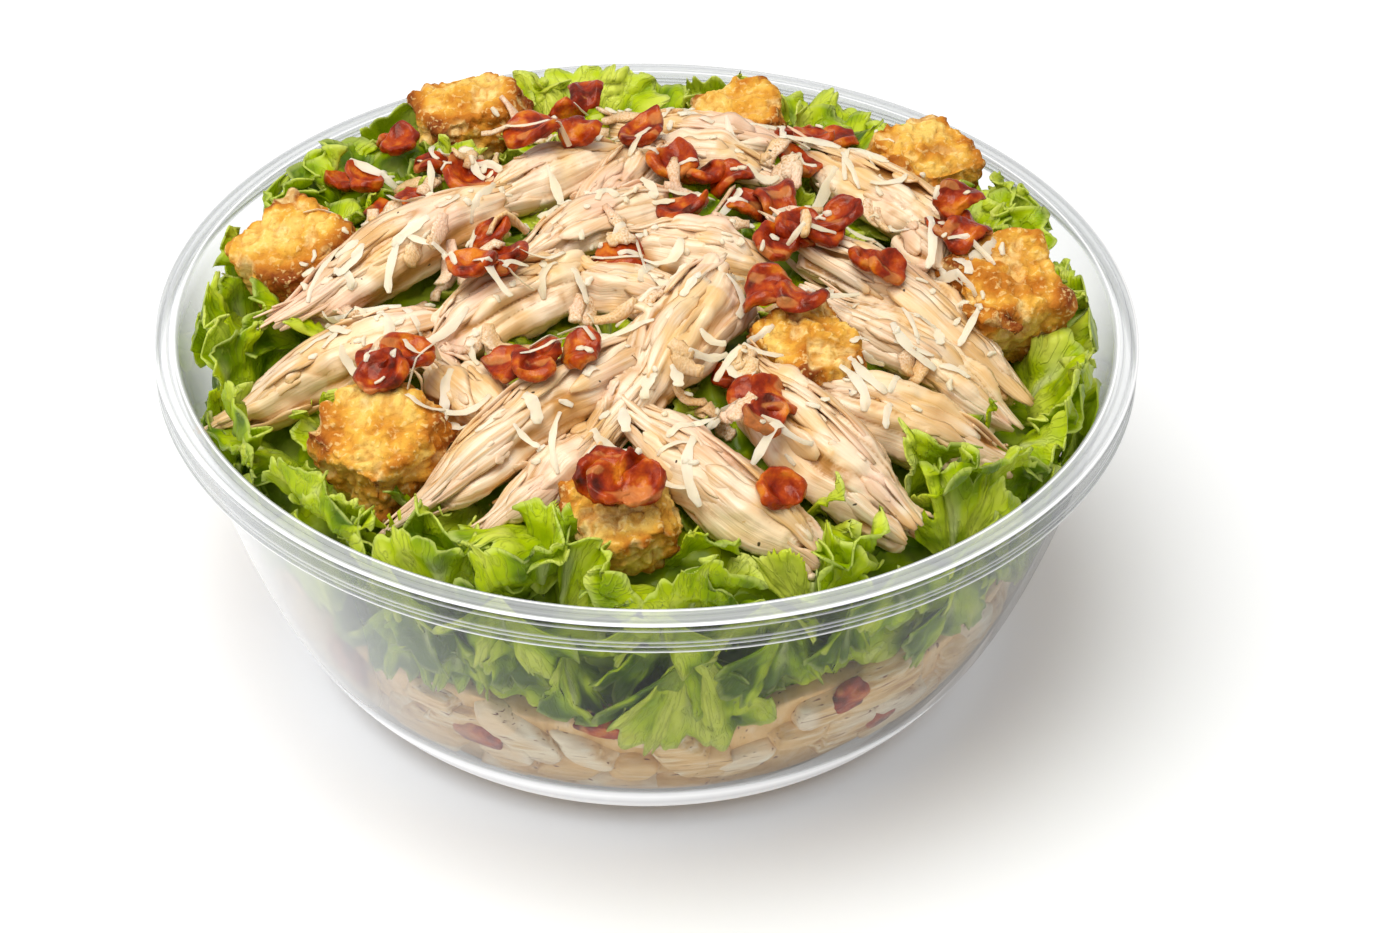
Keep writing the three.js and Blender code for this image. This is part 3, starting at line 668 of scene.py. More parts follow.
class Grain:
    """The run of the fibres: a curved spine through a body, and two directions across it."""

    def __init__(self, points):
        self.middle = points.mean(axis=0)
        axes = np.linalg.svd(points - self.middle, full_matrices=False)[2]
        self.along = axes[0]
        self.across = np.cross(UP, self.along)
        self.across /= np.linalg.norm(self.across)
        self.up = np.cross(self.along, self.across)
        rows = self.rows(points)
        self.low = rows[:, 0].min()
        self.high = rows[:, 0].max()
        self.stops = np.linspace(self.low, self.high, SPINE_STOPS)
        reach = 1.2 * (self.stops[1] - self.stops[0])
        near = [np.abs(rows[:, 0] - stop) < reach for stop in self.stops]
        self.sway = np.array([rows[mask, 1].mean() for mask in near])
        self.heave = np.array([rows[mask, 2].mean() for mask in near])

    def rows(self, points):
        return (points - self.middle) @ np.array([self.along, self.across, self.up]).T

    def spine(self, s):
        sway = np.interp(s, self.stops, self.sway)
        heave = np.interp(s, self.stops, self.heave)
        return self.middle + s * self.along + sway * self.across + heave * self.up

    def polar(self, points):
        """Place along the spine, turn about it and distance from it, for each point."""
        rows = self.rows(points)
        s = rows[:, 0]
        y = rows[:, 1] - np.interp(s, self.stops, self.sway)
        z = rows[:, 2] - np.interp(s, self.stops, self.heave)
        return s, np.arctan2(z, y), np.hypot(y, z)


# %% Furrows along the grain
PLANK_DEPTH = 2.2
BUNDLE_DEPTH = 1.1
STRAND_DEPTH = 0.3
LUMP_DEPTH = 1.2
CRUMB_DEPTH = 0.35
SWELL = 0.35  # the whole body is let out by this, to meet its neighbours
TORN = 3.5  # how far the fibres at an end are torn in and out


def grained(ring, s, fineness, length, seed):
    """Noise drawn out along the grain: how many fold round the spine, and how long each is."""
    return noise(np.column_stack([ring * fineness, s / length]), seed)


def furrow(piece, grain, seed):
    points = points_of(piece)
    normals = normals_of(piece)
    s, turn, away = grain.polar(points)
    turn = turn + 0.01 * s + 0.3 * noise(np.stack([s / 11, away / 9, turn * 0], 1), seed)
    ring = np.stack([np.cos(turn), np.sin(turn)], 1)
    planks = np.abs(grained(ring, s, 1.3, 26, seed + 1)) ** 0.5
    bundles = np.abs(grained(ring, s, 2.6, 16, seed + 6)) ** 0.6
    strands = np.abs(grained(ring, s, 7, 10, seed + 2))
    lumps = noise(points / 7, seed + 3)
    crumbs = noise(points / 1.9, seed + 4)
    worn = smoothstep(-0.3, 0.4, noise(points / 6, seed + 8))  # where dressing fills the furrows
    fine = (1 - 0.7 * worn) * (BUNDLE_DEPTH * (bundles - 0.5) + STRAND_DEPTH * (strands - 0.3))
    depth = (1 - 0.3 * worn) * PLANK_DEPTH * (planks - 0.55)
    depth = depth + fine + LUMP_DEPTH * lumps + CRUMB_DEPTH * crumbs
    reach = np.clip(away / 4, 0.15, 1)
    middle = (grain.low + grain.high) / 2
    end = smoothstep(0.55, 1.0, np.abs(s - middle) / (grain.high - middle))
    torn = TORN * end * (grained(ring, away, 1.8, 3, seed + 9) - 0.15)
    points = points + normals * (depth * reach + SWELL)[:, None]
    points = points + (np.sign(s - middle) * torn)[:, None] * grain.along
    set_points(piece, points)
    # Painted shade: the clefts between planks and bundles get a darker colour, less where dressing fills
    # them.
    dark = np.clip(1.35 - 2.8 * planks, 0, 1) + np.clip(0.9 - 2.9 * bundles, 0, 0.7)
    note(piece, "hollow", dark * (1 - 0.4 * worn))
    note(piece, "dressing", worn)
    note(piece, "grain", np.column_stack([ring * 5, s]))


# %% A strip
def strip(path, normals, width, thick, sides=6):
    """A tapering strip along a path: its points and faces."""
    count = len(path)
    heading = np.gradient(path, axis=0)
    heading /= np.linalg.norm(heading, axis=1)[:, None]
    aside = np.cross(heading, normals)
    aside /= np.linalg.norm(aside, axis=1)[:, None]
    lift = np.cross(aside, heading)
    turns = np.arange(sides) / sides * TURN
    rings = [
        path[i] + np.outer(np.cos(turns), aside[i]) * width[i] / 2
        + np.outer(np.sin(turns), lift[i]) * thick[i] / 2
        for i in range(count)
    ]
    faces = []
    for i in range(count - 1):
        for j in range(sides):
            k = (j + 1) % sides
            faces.append([i * sides + j, i * sides + k, (i + 1) * sides + k, (i + 1) * sides + j])
    last = (count - 1) * sides
    faces.append(list(range(sides))[::-1])
    faces.append(list(range(last, last + sides)))
    return np.concatenate(rings), faces


# %% Strips that lie along a piece
STRIP_STOPS = 12
BODY_END = 0.04  # a path leaves the body at this share of its length from either end
LYING = 0.25  # how far a strip's middle lies above the body


def hugging_path(grain, tree, turn, drift, shares, flare):
    """A path over a body at a turn about its spine, and on past its ends in the same direction."""
    length = grain.high - grain.low
    path = []
    for share in shares:
        inner = min(max(share, BODY_END), 1 - BODY_END)
        spot = grain.spine(grain.low + length * inner)
        angle = turn + drift * (share - shares[0])
        out = math.cos(angle) * grain.across + math.sin(angle) * grain.up
        hit = tree.ray_cast(Vector(spot * MM), Vector(out))[0]
        at = np.array(hit) / MM if hit else spot + out
        past = (share - inner) * length
        path.append(at + grain.along * past + out * (flare * abs(past)))
    path = np.array(path)
    for _ in range(4):
        path[1:-1] = (path[:-2] + path[1:-1] + path[2:]) / 3
    return path


def peeled_strip(grain, tree, draw, reach, width, flare, lift=0.0):
    """A flat strip over a body, from one share of its length to another."""
    turn = math.pi / 2 + draw.normal(0, 0.9)
    shares = np.linspace(*reach, STRIP_STOPS)
    path = hugging_path(grain, tree, turn, draw.normal(0, 0.5), shares, flare)
    along = np.linspace(0, 1, len(shares))
    out = math.cos(turn) * grain.across + math.sin(turn) * grain.up
    belly = np.sin(math.pi * (0.05 + 0.9 * along)) ** draw.uniform(0.4, 0.9)
    wide = width * belly * (1 + 0.25 * np.sin(along * draw.uniform(6, 12)))
    rise = LYING + 0.3 * draw.uniform() * np.sin(math.pi * along) + lift * along**2
    path += out * rise[:, None]
    across = np.tile(out, (len(path), 1)) + draw.normal(0, 0.25) * grain.across
    return strip(path, across, wide, 0.35 + wide * 0.16, 8)


# %% All strips of a piece
NEAR_PRONGS = 7
FAR_PRONGS = 4
LOOSE_FIBRES = 8


def strips_for(grain, tree, draw):
    """Strips that lie on a body, fine ones between them, and prongs that fray past its ends."""
    length = grain.high - grain.low
    made = []

    def add(reach, width, flare, lift=0.0):
        made.append(peeled_strip(grain, tree, draw, reach, width, flare, lift))

    for _ in range(int(2 + length * 0.08)):  # broad strips
        start = draw.uniform(0.0, 0.4)
        reach = (start, min(start + draw.uniform(0.35, 0.6), 0.98))
        add(reach, draw.uniform(3.5, 6.0), 0.1)
    for _ in range(int(1 + length * 0.1)):  # fine strips
        start = draw.uniform(0.0, 0.6)
        reach = (start, min(start + draw.uniform(0.2, 0.5), 1.0))
        add(reach, draw.uniform(0.7, 1.5), 0.1)
    for _ in range(int(length * 0.2)):  # short tufts that stand up at one end
        start = draw.uniform(0.05, 0.9)
        reach = (start, start + draw.choice([-1, 1]) * draw.uniform(2.5, 6) / length)
        add(reach, draw.uniform(1.0, 2.4), 0.1, draw.uniform(0.2, 1.2))
    for _ in range(NEAR_PRONGS):
        reach = (draw.uniform(-0.18, -0.03), draw.uniform(0.2, 0.4))
        add(reach, draw.uniform(1.6, 4.0), -0.15)
    for _ in range(FAR_PRONGS):
        reach = (draw.uniform(0.6, 0.8), draw.uniform(1.0, 1.07))
        add(reach, draw.uniform(2.0, 4.0), -0.1)
    for _ in range(LOOSE_FIBRES):
        reach = (draw.uniform(-0.24, -0.08), draw.uniform(0.08, 0.25))
        width = draw.uniform(0.9, 1.9)
        add(reach, width, draw.uniform(-0.25, 0.2))
    return made


# %% Each piece of chicken
def joined(name, parts):
    """One piece from parts, each given as points and faces."""
    points, faces, start = [], [], 0
    for part in parts:
        points.append(part[0])
        faces.extend([vertex + start for vertex in face] for face in part[1])
        start += len(part[0])
    mesh = bpy.data.meshes.new(name)
    mesh.from_pydata((np.concatenate(points) * MM).tolist(), [], faces)
    piece = bpy.data.objects.new(name, mesh)
    bpy.context.collection.objects.link(piece)
    return piece


def tree_of(piece):
    return BVHTree.FromObject(piece, bpy.context.evaluated_depsgraph_get())


def pulled_chicken(node, seed):
    """A furrowed body and its strips, as one piece."""
    body = copy_of(node, node + "_pulled")
    remeshed(body, FINE, 5)
    grain = Grain(points_of(body))
    tree = tree_of(body)
    furrow(body, grain, seed * 10)
    draw = np.random.default_rng(seed)
    parts = strips_for(grain, tree, draw)
    loose = joined(node + "_strips", parts)
    points = points_of(loose)
    s, turn, _ = grain.polar(points)
    # Painted shade at random along the strips.
    note(loose, "hollow", 0.25 + 0.35 * noise(points / 4, seed + 5))
    note(loose, "dressing", 0.3 + 0.3 * noise(points / 5, seed))
    note(loose, "grain", np.column_stack([np.cos(turn) * 5, np.sin(turn) * 5, s]))
    choose(body)
    loose.select_set(True)
    bpy.ops.object.join()
    smooth_shading(body)
    return body


# %% [markdown]
# ### How cooked chicken looks
# Cooked breast is cream with a pink cast, with fine streaks along the fibres, a few specks of pepper,
# and a thin wet dressing over it. Its furrows are painted browner and darker, as painted shade. A
# painted image would need its own map for each piece. So the values kept with the shape say where
# shade is painted, where dressing lies and which way its grain runs, and one finish serves them all.
# The wet look is a thin coat.

# %% Chicken finish
chicken_look = Finish(
    "pulled_chicken", Roughness=0.38, Coat_Weight=0.2, Coat_Roughness=0.12,
    Subsurface_Weight=0.1, Subsurface_Scale=0.0015, Specular_IOR_Level=0.4,
)
chicken_look.skin.inputs["Subsurface Radius"].default_value = (1.0, 0.6, 0.4)
hollow = chicken_look.noted("hollow")
along = chicken_look.noted("grain", "Vector")
fibre = chicken_look.clouds(along, (1.3, 1.3, 0.07), 3.0)
flesh = chicken_look.ramp(fibre, [
    (0.28, (0.54, 0.25, 0.08)), (0.38, (0.72, 0.45, 0.22)),
    (0.49, (0.82, 0.58, 0.36)), (0.62, (0.89, 0.72, 0.51)),
])
patch = chicken_look.speckle(7)
pink = chicken_look.mixed((1 - patch.between(0.34, 0.48)) * 0.6, flesh, (0.84, 0.53, 0.38))
golden = chicken_look.mixed(patch.between(0.49, 0.59) * 0.6, pink, (0.78, 0.47, 0.15))
dressing = chicken_look.noted("dressing")
creamed = chicken_look.mixed(dressing.between(0.3, 0.9) * 0.4, golden, (0.94, 0.78, 0.54))
# Painted shade, where the shape noted it.
shaded = chicken_look.mixed(hollow.between(0.1, 0.9) * 0.9, creamed, (0.48, 0.21, 0.035))
pepper = chicken_look.speckle(1.0, 1.0)
specked = chicken_look.mixed(pepper.between(0.77, 0.8), shaded, (0.07, 0.045, 0.02))
chicken_look.colour(specked)
chicken_look.rough(0.16 + 0.34 * fibre)
chicken_look.relief(fibre, 0.45, 0.8)
chicken_look.told()

# %% Chicken pieces
chickens = [name for name in nodes if name.startswith("chicken_") and name != "chicken_bed"]
solid_pieces = []
for seed, node in enumerate(chickens):
    piece = pulled_chicken(node, seed + 1)
    complete(piece, chicken_look.material, [node])
    solid_pieces.append(piece)
print(len(chickens), "pieces of chicken")

# %% [markdown]
# ## Croutons
# Torn cubes of bread, fried until the edges are hard. Their crust is pitted and sandy with crumbs. A
# subdivided cube with a bump finish keeps a clean outline, which gives it away as a box. So each
# solid is rebuilt as fine even faces, and pushed in and out at four sizes of grain.

# %% Crouton shape
CROUTON_FINE = 0.42
HOLE_DEPTH = 1.2
NODULE_HEIGHT = 1.3
CRUMB_HEIGHT = 0.5
BULGE = 1.5


def crouton(node, seed):
    """A pitted and crumbly piece, with notes for the finish of its edges, its pits and the creases where
    shade is painted.
    """
    piece = copy_of(node, node + "_toasted")
    remeshed(piece, CROUTON_FINE, 6)
    points = points_of(piece)
    normals = normals_of(piece)
    pits = noise(points / 3.0, seed)
    nodules = np.abs(noise(points / 2.2, seed + 1)) ** 0.7
    crumbs = noise(points / 0.8, seed + 2)
    holes = -HOLE_DEPTH * smoothstep(0.3, 0.75, pits)
    height = holes + NODULE_HEIGHT * (nodules - 0.4) + CRUMB_HEIGHT * np.maximum(crumbs, -0.1)
    height = height + BULGE * noise(points / 6, seed + 3)
    set_points(piece, points + normals * height[:, None])
    middle = points.mean(axis=0)
    away = np.linalg.norm(points - middle, axis=1)
    edge = smoothstep(0.92, 1.18, away / np.median(away))
    note(piece, "edge", edge)
    note(piece, "pit", smoothstep(0.1, 0.6, pits))
    # Painted shade: the creases between the nodules are noted, to be coloured darker.
    note(piece, "crack", smoothstep(0.4, 0.1, nodules))
    smooth_shading(piece)
    return piece


# %% [markdown]
# ### How fried bread looks
# Hot fat browns the edges and high crumbs first, while flat faces stay golden, pits show the pale
# inside, and a sand of fine crumbs lies over all. One brown with bumps would look like clay. So
# cloudy blots and the note of the edges are added up and looked up on a ramp from pale to burnt.
# Shade is painted too: the creases between the nodules and the low grains of the sand are darker.

# %% Crouton finish
toast = Finish("toasted_bread", Roughness=0.7, Specular_IOR_Level=0.15)
edge = toast.noted("edge")
pit = toast.noted("pit")
blotch = toast.speckle(5, 3.0)
sand = toast.speckle(0.55, 4.0)
browned = toast.ramp(blotch + 0.26 * edge - 0.05, [
    (0.36, (0.82, 0.54, 0.13)), (0.47, (0.74, 0.38, 0.045)),
    (0.58, (0.52, 0.17, 0.011)), (0.72, (0.22, 0.045, 0.004)),
])
crumb = toast.ramp(sand, [(0.3, (0.78, 0.48, 0.12)), (0.7, (0.94, 0.74, 0.36))])
crusted = toast.mixed(pit.between(0.3, 0.95) * 0.6, browned, crumb)
sanded = toast.mixed(sand.between(0.54, 0.66) * 0.5, crusted, (0.95, 0.72, 0.30))
# Painted shade in the low grains of the sand, and then in the creases.
sand_shaded = toast.mixed((1 - sand.between(0.32, 0.46)) * 0.35, sanded, (0.50, 0.20, 0.03))
crease_shaded = toast.mixed(toast.noted("crack") * 0.55, sand_shaded, (0.52, 0.20, 0.02))
toast.colour(crease_shaded)
toast.relief(sand, 0.6, 1.0)
toast.told()

# %% Crouton pieces
croutons = [name for name in nodes if name.startswith("crouton_")]
for seed, node in enumerate(croutons):
    piece = crouton(node, 100 + seed * 7)
    complete(piece, toast.material, [node])
    solid_pieces.append(piece)
print(len(croutons), "croutons")

# %% [markdown]
# ## Bacon bits
# Small rounds of bacon cup and twist as they fry. They are thick, glossy and a little see-through:
# deep red-brown, orange where thin, with a few paler streaks of fat. Each could be a bent disc, but a
# disc has a sharp edge that fried fat never has. So each is a ball pressed flat, waved round its
# edge, curled over a bend and puckered, then leaned and dropped on to the solid it stands for.

# %% Bacon dimensions
# Middle of each bit or group, then for each bit its offset, radius and lean in degrees.
BACON = [
    (-58, 33, [(-2, 3, 4.2, 20), (2, -3, 4.3, -30)]),
    (-51, 46, [(-1, 3, 4.2, -25), (1, -3, 4, 25)]),
    (-48, 21, [(-2, -1, 5.4, 12), (3, 2, 4.4, -30)]),
    (-43, 37, [(0, 0, 4.2, 24)]),
    (-35, 27, [(0, 0, 5.4, -26)]),
    (-16, 57, [(-2, -2, 4.2, 30), (2, 3, 3.8, -25)]),
    (-18, 36, [(-5, -3, 5.4, 14), (1, 3, 3.8, -20), (4, -1, 4, 25)]),
    (-2, 41, [(0, 0, 5.2, 15)]),
    (4, 30, [(0, 0, 5.2, -20)]),
    (12, 27, [(-2, 1, 4.2, 22), (3, 0, 4, -28)]),
    (7, 13, [(0, 0, 5.2, 26)]),
    (22, 18, [(-3, 0, 4.8, -12), (2, 1, 4.6, 16)]),
    (29, 5, [(-5, -3, 4.8, 18), (-1, 1, 4.8, -22), (3, -2, 4.6, 16), (7, 3, 4.6, -30)]),
    (42, -5, [(-2, 1, 3.8, 20), (2, -1, 4.2, -24)]),
    (32, 51, [(-4, 1, 4.4, 24), (4, 1, 4.6, -28), (0, -4, 4, 10)]),
    (28, 37, [(0, 0, 5, -15)]),
    (58, 8, [(-3, -2, 4, 15), (3, 1, 4, -25), (1, -4, 3.8, 20), (0, 5, 4, 30)]),
    (-29, 3, [(0, 0, 4, 28)]),
    (-27, -12, [(2, 3, 4.4, -22), (1, -2, 3.6, 24), (-4, -4, 4.6, 12)]),
    (-4, -5, [(0, 0, 5.2, 12)]),
    (-44, -40, [(-2, 2, 4.6, 18), (3, 2, 4.8, -20), (-1, -3, 4.8, 14)]),
    (-20, -40, [(-3, 1, 4.6, 20), (3, 2, 3.8, -24), (1, -3, 4.2, 16)]),
    (-11, -38, [(0, 0, 4.2, -18)]),
    (25, -22, [(-3, 1, 5.2, 20), (3, -1, 4.6, -24)]),
    (21, -48, [(1, 2, 5.2, 14), (0, -4, 4.6, -18)]),
    (16, -34, [(0, 0, 3.8, 22)]),
    (-3, -66, [(-3, 2, 4.8, 18), (3, 1, 4.4, -22), (-2, -3, 4.4, 20), (4, -3, 4.2, -16)]),
    (24, -63, [(0, 0, 4.4, 16)]),
]
BACON_THICKNESS = 2.3
print(sum(len(bits) for _, _, bits in BACON), "bits of bacon in", len(BACON), "groups")

# %% A bacon bit
BALL_LEVELS = 4

bpy.ops.object.select_all(action="DESELECT")
bpy.ops.mesh.primitive_ico_sphere_add(subdivisions=BALL_LEVELS, radius=1)
ball = bpy.context.object
ball_points = points_of(ball) * MM
ball_faces = [list(face.vertices) for face in ball.data.polygons]
bpy.data.objects.remove(ball)


def bacon_bit(draw, radius):
    """A thick round with a wavy edge that frying has curled up on two sides, about its middle."""
    x, y, z = ball_points.T
    seed = int(draw.integers(9999))
    around = np.arctan2(y, x)
    outline = 1 + 0.12 * np.sin(2 * around + seed) + 0.07 * np.sin(3 * around + 2 * seed)
    flat = np.hypot(x, y) ** 0.6 * outline * radius
    height = np.sign(z) * np.abs(z) ** 0.6 * BACON_THICKNESS / 2
    px = flat * np.cos(around)
    py = flat * np.sin(around)
    height = height * (0.75 + 0.5 * (flat / radius) ** 2)
    height = height + draw.uniform(0.1, 0.5) * (py / radius) ** 2 * radius * draw.choice([-1, 1, 1])
    bend = radius / draw.uniform(0.5, 1.2)
    hub = bend - height
    points = np.column_stack([hub * np.sin(px / bend), py, bend - hub * np.cos(px / bend)])
    pucker = 0.5 * noise(points / 2.0, seed) + 0.3 * noise(points / 0.9, seed + 1)
    return points + ball_points * pucker[:, None]


# %% Bits laid on the heap
SUNK = 0.8  # how far a bit is pressed in
STACKED = 0.3  # how much higher each next bit of a group lies


def leaned(points, lean, heading, x, y):
    """Leans a bit, turns it to a heading, and tips it with the slope of the heap."""
    turn = Matrix.Rotation(heading, 3, "Z") @ Matrix.Rotation(math.radians(lean), 3, "X")
    r = math.hypot(x, y) + 1e-6
    slope = float(heap_height(r + 0.5) - heap_height(r - 0.5))
    out = Vector((-slope * x / r, -slope * y / r, 1)).normalized()
    tip = Vector((0, 0, 1)).rotation_difference(Vector((0, 0, 1)).lerp(out, 0.8)).to_matrix()
    return points @ np.array(tip @ turn).T


def fried_bits(node, x, y, bits, seed):
    """All bits of one group, each dropped on to the group's solid."""
    draw = np.random.default_rng(seed)
    tree = tree_of(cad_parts[node])
    parts = []
    for place, (dx, dy, radius, lean) in enumerate(bits):
        shape = leaned(bacon_bit(draw, radius), lean, draw.uniform(0, TURN), x, y)
        above = Vector((x + dx, y + dy, 200)) * MM
        hit = tree.ray_cast(above, DOWN)[0]
        z = hit.z / MM if hit else tree.find_nearest(above)[0].z / MM
        rest = np.array([x + dx, y + dy, z - SUNK + STACKED * place])
        parts.append((shape + rest, ball_faces))
    piece = joined(node + "_fried", parts)
    note(piece, "fat", noise(points_of(piece) / np.array([5.0, 2.0, 3.0]), seed))
    smooth_shading(piece)
    return piece


# %% [markdown]
# ### How fried bacon looks
# Lean meat fries to a deep glossy red-brown, and fat to amber. The gloss is what makes it read as
# bacon, but white highlights would make it look like plastic. So the highlights are tinted, the
# clouds run from nearly black to orange, and the note made with the shape says where the fat runs.

# %% Bacon finish
fried = Finish(
    "fried_bacon", Roughness=0.36, Coat_Weight=0.22, Coat_Roughness=0.1,
    Subsurface_Weight=0.04, Subsurface_Scale=0.001, Specular_IOR_Level=0.28,
)
fried.skin.inputs["Specular Tint"].default_value = (1.0, 0.62, 0.38, 1)
fat = fried.noted("fat")
cloud = fried.speckle(2.0, 3.0)
lean = fried.ramp(cloud, [
    (0.3, (0.07, 0.005, 0.001)), (0.44, (0.25, 0.015, 0.001)),
    (0.56, (0.42, 0.05, 0.001)), (0.70, (0.62, 0.18, 0.008)),
])
streaked = fried.mixed(fat.between(0.4, 0.6) * 0.5, lean, (0.66, 0.27, 0.07))
fried.colour(streaked)
fried.relief(fried.speckle(0.8, 3.0), 0.6, 0.9)
fried.told()

# %% Bacon pieces
for seed, (x, y, bits) in enumerate(BACON):
    node = "bacon_%02d" % (seed + 1)
    piece = fried_bits(node, x, y, bits, 300 + seed)
    complete(piece, fried.material, [node])
    solid_pieces.append(piece)

# %% [markdown]
# ## Lettuce
# Frilly lettuce has far more edge than its blade has room for, so the edge ruffles in and out. A
# cloth simulation could find such folds, but slowly, and with little say in where they fall. So one
# flat leaf is made as a fine grid, and every leaf in the bowl is that grid fanned out from its root,
# ruffled more and more towards the edge, bent, and set in its place. A leaf never pokes through a
# topping or the wall: where it would, it is pressed flat or cut off.

# %% Blank leaves
def blank_leaf(across, along):
    """A flat leaf: each point's place across it, from -1 to 1, and along it, from 0 to 1."""
    bpy.ops.object.select_all(action="DESELECT")
    bpy.ops.mesh.primitive_grid_add(x_subdivisions=across, y_subdivisions=along, size=2)
    blank = bpy.context.object
    points = points_of(blank) * MM
    faces = [list(face.vertices) for face in blank.data.polygons]
    bpy.data.objects.remove(blank)
    return points[:, 0], (points[:, 1] + 1) / 2, faces


FINE_BLANK = blank_leaf(across=80, along=18)
SMALL_BLANK = blank_leaf(across=42, along=12)
print(len(FINE_BLANK[2]), "and", len(SMALL_BLANK[2]), "faces in the blanks")


# %% A leaf
BLISTER = 4.2  # width of a blister between the veins
BLISTER_HEIGHT = 2.7
CRINKLE = 2.4
CRINKLE_HEIGHT = 0.35
RIB_DEPTH = 1.2
WARP = 1.3  # how far the whole blade warps


def leaf(draw, blank, length, spread, frill, curl):
    """A leaf that grows from the origin along +Y with its face up: its points and its crests."""
    u, v, _ = blank
    phase = draw.uniform(0, TURN)
    waves = draw.uniform(2.2, 3.0)
    swing = u * waves * math.pi + phase + 0.9 * np.sin(u * 2.5 + phase)
    scallops = np.abs(np.sin(1.7 * swing + phase))
    teeth = np.abs(np.sin(u * 19 + 2 * phase))
    lobes = 1 + 0.10 * np.sin(u * 4.5 + phase) + 0.15 * (scallops - 0.6) * v**4
    lobes = lobes + 0.07 * (teeth - 0.6) * v**7
    fan = u * spread
    reach = length * v * lobes * (1 - 0.25 * u**2)
    strength = 0.65 + 0.35 * np.sin(u * 3.1 + 2 * phase)
    size = frill * strength * v**2.8
    aside = 0.9 * size * np.cos(swing)
    x = reach * np.sin(fan) + aside * np.cos(fan)
    y = reach * np.cos(fan) - aside * np.sin(fan)
    crest = np.sin(swing) * v**1.5
    curls = np.sin(3.4 * swing + 3 * phase) * v**2
    z = size * np.sin(swing) + 0.36 * size * curls + WARP * np.sin(u * 2.2 + phase) * v
    seed = int(draw.integers(9999))
    blisters = np.abs(noise(np.column_stack([x / BLISTER, y / BLISTER, x * 0]), seed)) ** 0.8
    crinkle = noise(np.column_stack([x / CRINKLE, y / CRINKLE, z / CRINKLE]), seed + 1)
    z = z + BLISTER_HEIGHT * blisters * v**0.5 + CRINKLE_HEIGHT * crinkle
    z = z - RIB_DEPTH * bump(u, 0, 0.10) * (1 - v)
    bend = curl * y / length
    bent_y = y * np.cos(bend) - z * np.sin(bend)
    bent_z = y * np.sin(bend) + z * np.cos(bend)
    # The second value is painted light: high on the crests of the ruffles and blisters, low in the
    # hollows.
    return np.column_stack([x, bent_y, bent_z]), 0.5 * crest + 0.25 * curls + 0.5 * (blisters - 0.5)


def set_leaf(points, root, heading, lift, roll):
    """Turns a leaf from +Y to a heading, raises its tip by a lift, and moves its root to its place."""
    turn = (
        Matrix.Rotation(heading - math.pi / 2, 3, "Z")
        @ Matrix.Rotation(lift, 3, "X")
        @ Matrix.Rotation(roll, 3, "Y")
    )
    return points @ np.array(turn).T + np.array(root)


# %% Room for the leaves
CLEARANCE = 0.6  # how far a leaf stays below a topping


def boxed_tree(piece):
    """A piece ready to be hit by rays, with the corners of its box."""
    rows = points_of(piece)
    return tree_of(piece), rows.min(axis=0), rows.max(axis=0)


topping_trees = [boxed_tree(piece) for piece in solid_pieces]
print(len(topping_trees), "toppings to keep clear of")


def under_toppings(points):
    """Presses points down where they would come out through the underside of a topping."""
    for tree, low, high in topping_trees:
        near = (points[:, 0] > low[0]) & (points[:, 0] < high[0])
        near &= (points[:, 1] > low[1]) & (points[:, 1] < high[1]) & (points[:, 2] > low[2] - 1)
        for i in np.flatnonzero(near):
            start = Vector((points[i, 0], points[i, 1], low[2] - 5)) * MM
            hit = tree.ray_cast(start, Vector((0, 0, 1)))[0]
            if hit and points[i, 2] > hit.z / MM - CLEARANCE:
                points[i, 2] = hit.z / MM - CLEARANCE
    return points


# %% Where a leaf ends
CUT_DEPTH = 2.0  # a leaf is cut away where a topping would press it down by more than this
LIP_HEIGHT = 62  # from here up, leaves are held in from the flange
LIP_RADIUS = 86.5
LIP_SLOPE = 0.33


def uncovered(points, free, blank):
    """Which points and faces of a leaf are left when it is cut off where it runs under a topping."""
    u, v, faces = blank
    faces = np.array(faces)
    hidden = free[:, 2] - points[:, 2] > CUT_DEPTH
    column = np.unique(np.round(u, 4), return_inverse=True)[1]
    reach = np.full(column.max() + 1, 2.0)
    np.minimum.at(reach, column, np.where(hidden, v, 2.0))
    faces = faces[(v < reach[column])[faces].all(axis=1)]
    used = np.unique(faces)
    place = np.zeros(len(points), dtype=int)
    place[used] = np.arange(len(used))
    return used, place[faces].tolist()


def inside_wall(points, gap=0.5):
    """Presses points in where they would cross the wall."""
    r = np.hypot(points[:, 0], points[:, 1])
    lip = LIP_RADIUS - LIP_SLOPE * (points[:, 2] - LIP_HEIGHT)
    most = np.minimum(wall_inner(points[:, 2]) - gap, lip)
    share = np.minimum(1, most / np.maximum(r, 1e-6))
    points[:, 0] *= share
    points[:, 1] *= share
    return points


# %% Growing a row of leaves
SMALLEST_LEAF = 60  # faces: what is left of a leaf below this is dropped
LEAF_THICKNESS = 0.35


def grow(row, seed, place, blank, hangs=False):
    """All leaves of one row as a piece that keeps each point's place on its leaf and its tone, with
    painted light and shade in it.
    """
    draw = np.random.default_rng(seed)
    u, v, _ = blank
    parts = []
    marks = []
    for i in range(row["count"]):
        free, crest = place(row, i, draw, blank)
        points = free if hangs else under_toppings(free.copy())
        # Each leaf's own random tone, plus the painted light of its crests.
        mark = np.column_stack([u, v, draw.uniform(0, 1) + crest])
        used, left = uncovered(points, free, blank)
        if len(left) > SMALLEST_LEAF:
            parts.append((points[used], left))
            marks.append(mark[used])
    piece = joined("lettuce_" + row["name"], parts)
    note(piece, "leaf", np.concatenate(marks))
    apply_modifier(piece, "SOLIDIFY", thickness=LEAF_THICKNESS * MM, offset=0)
    smooth_shading(piece)
    print(piece.name, len(parts), "of", row["count"], "leaves show")
    return piece


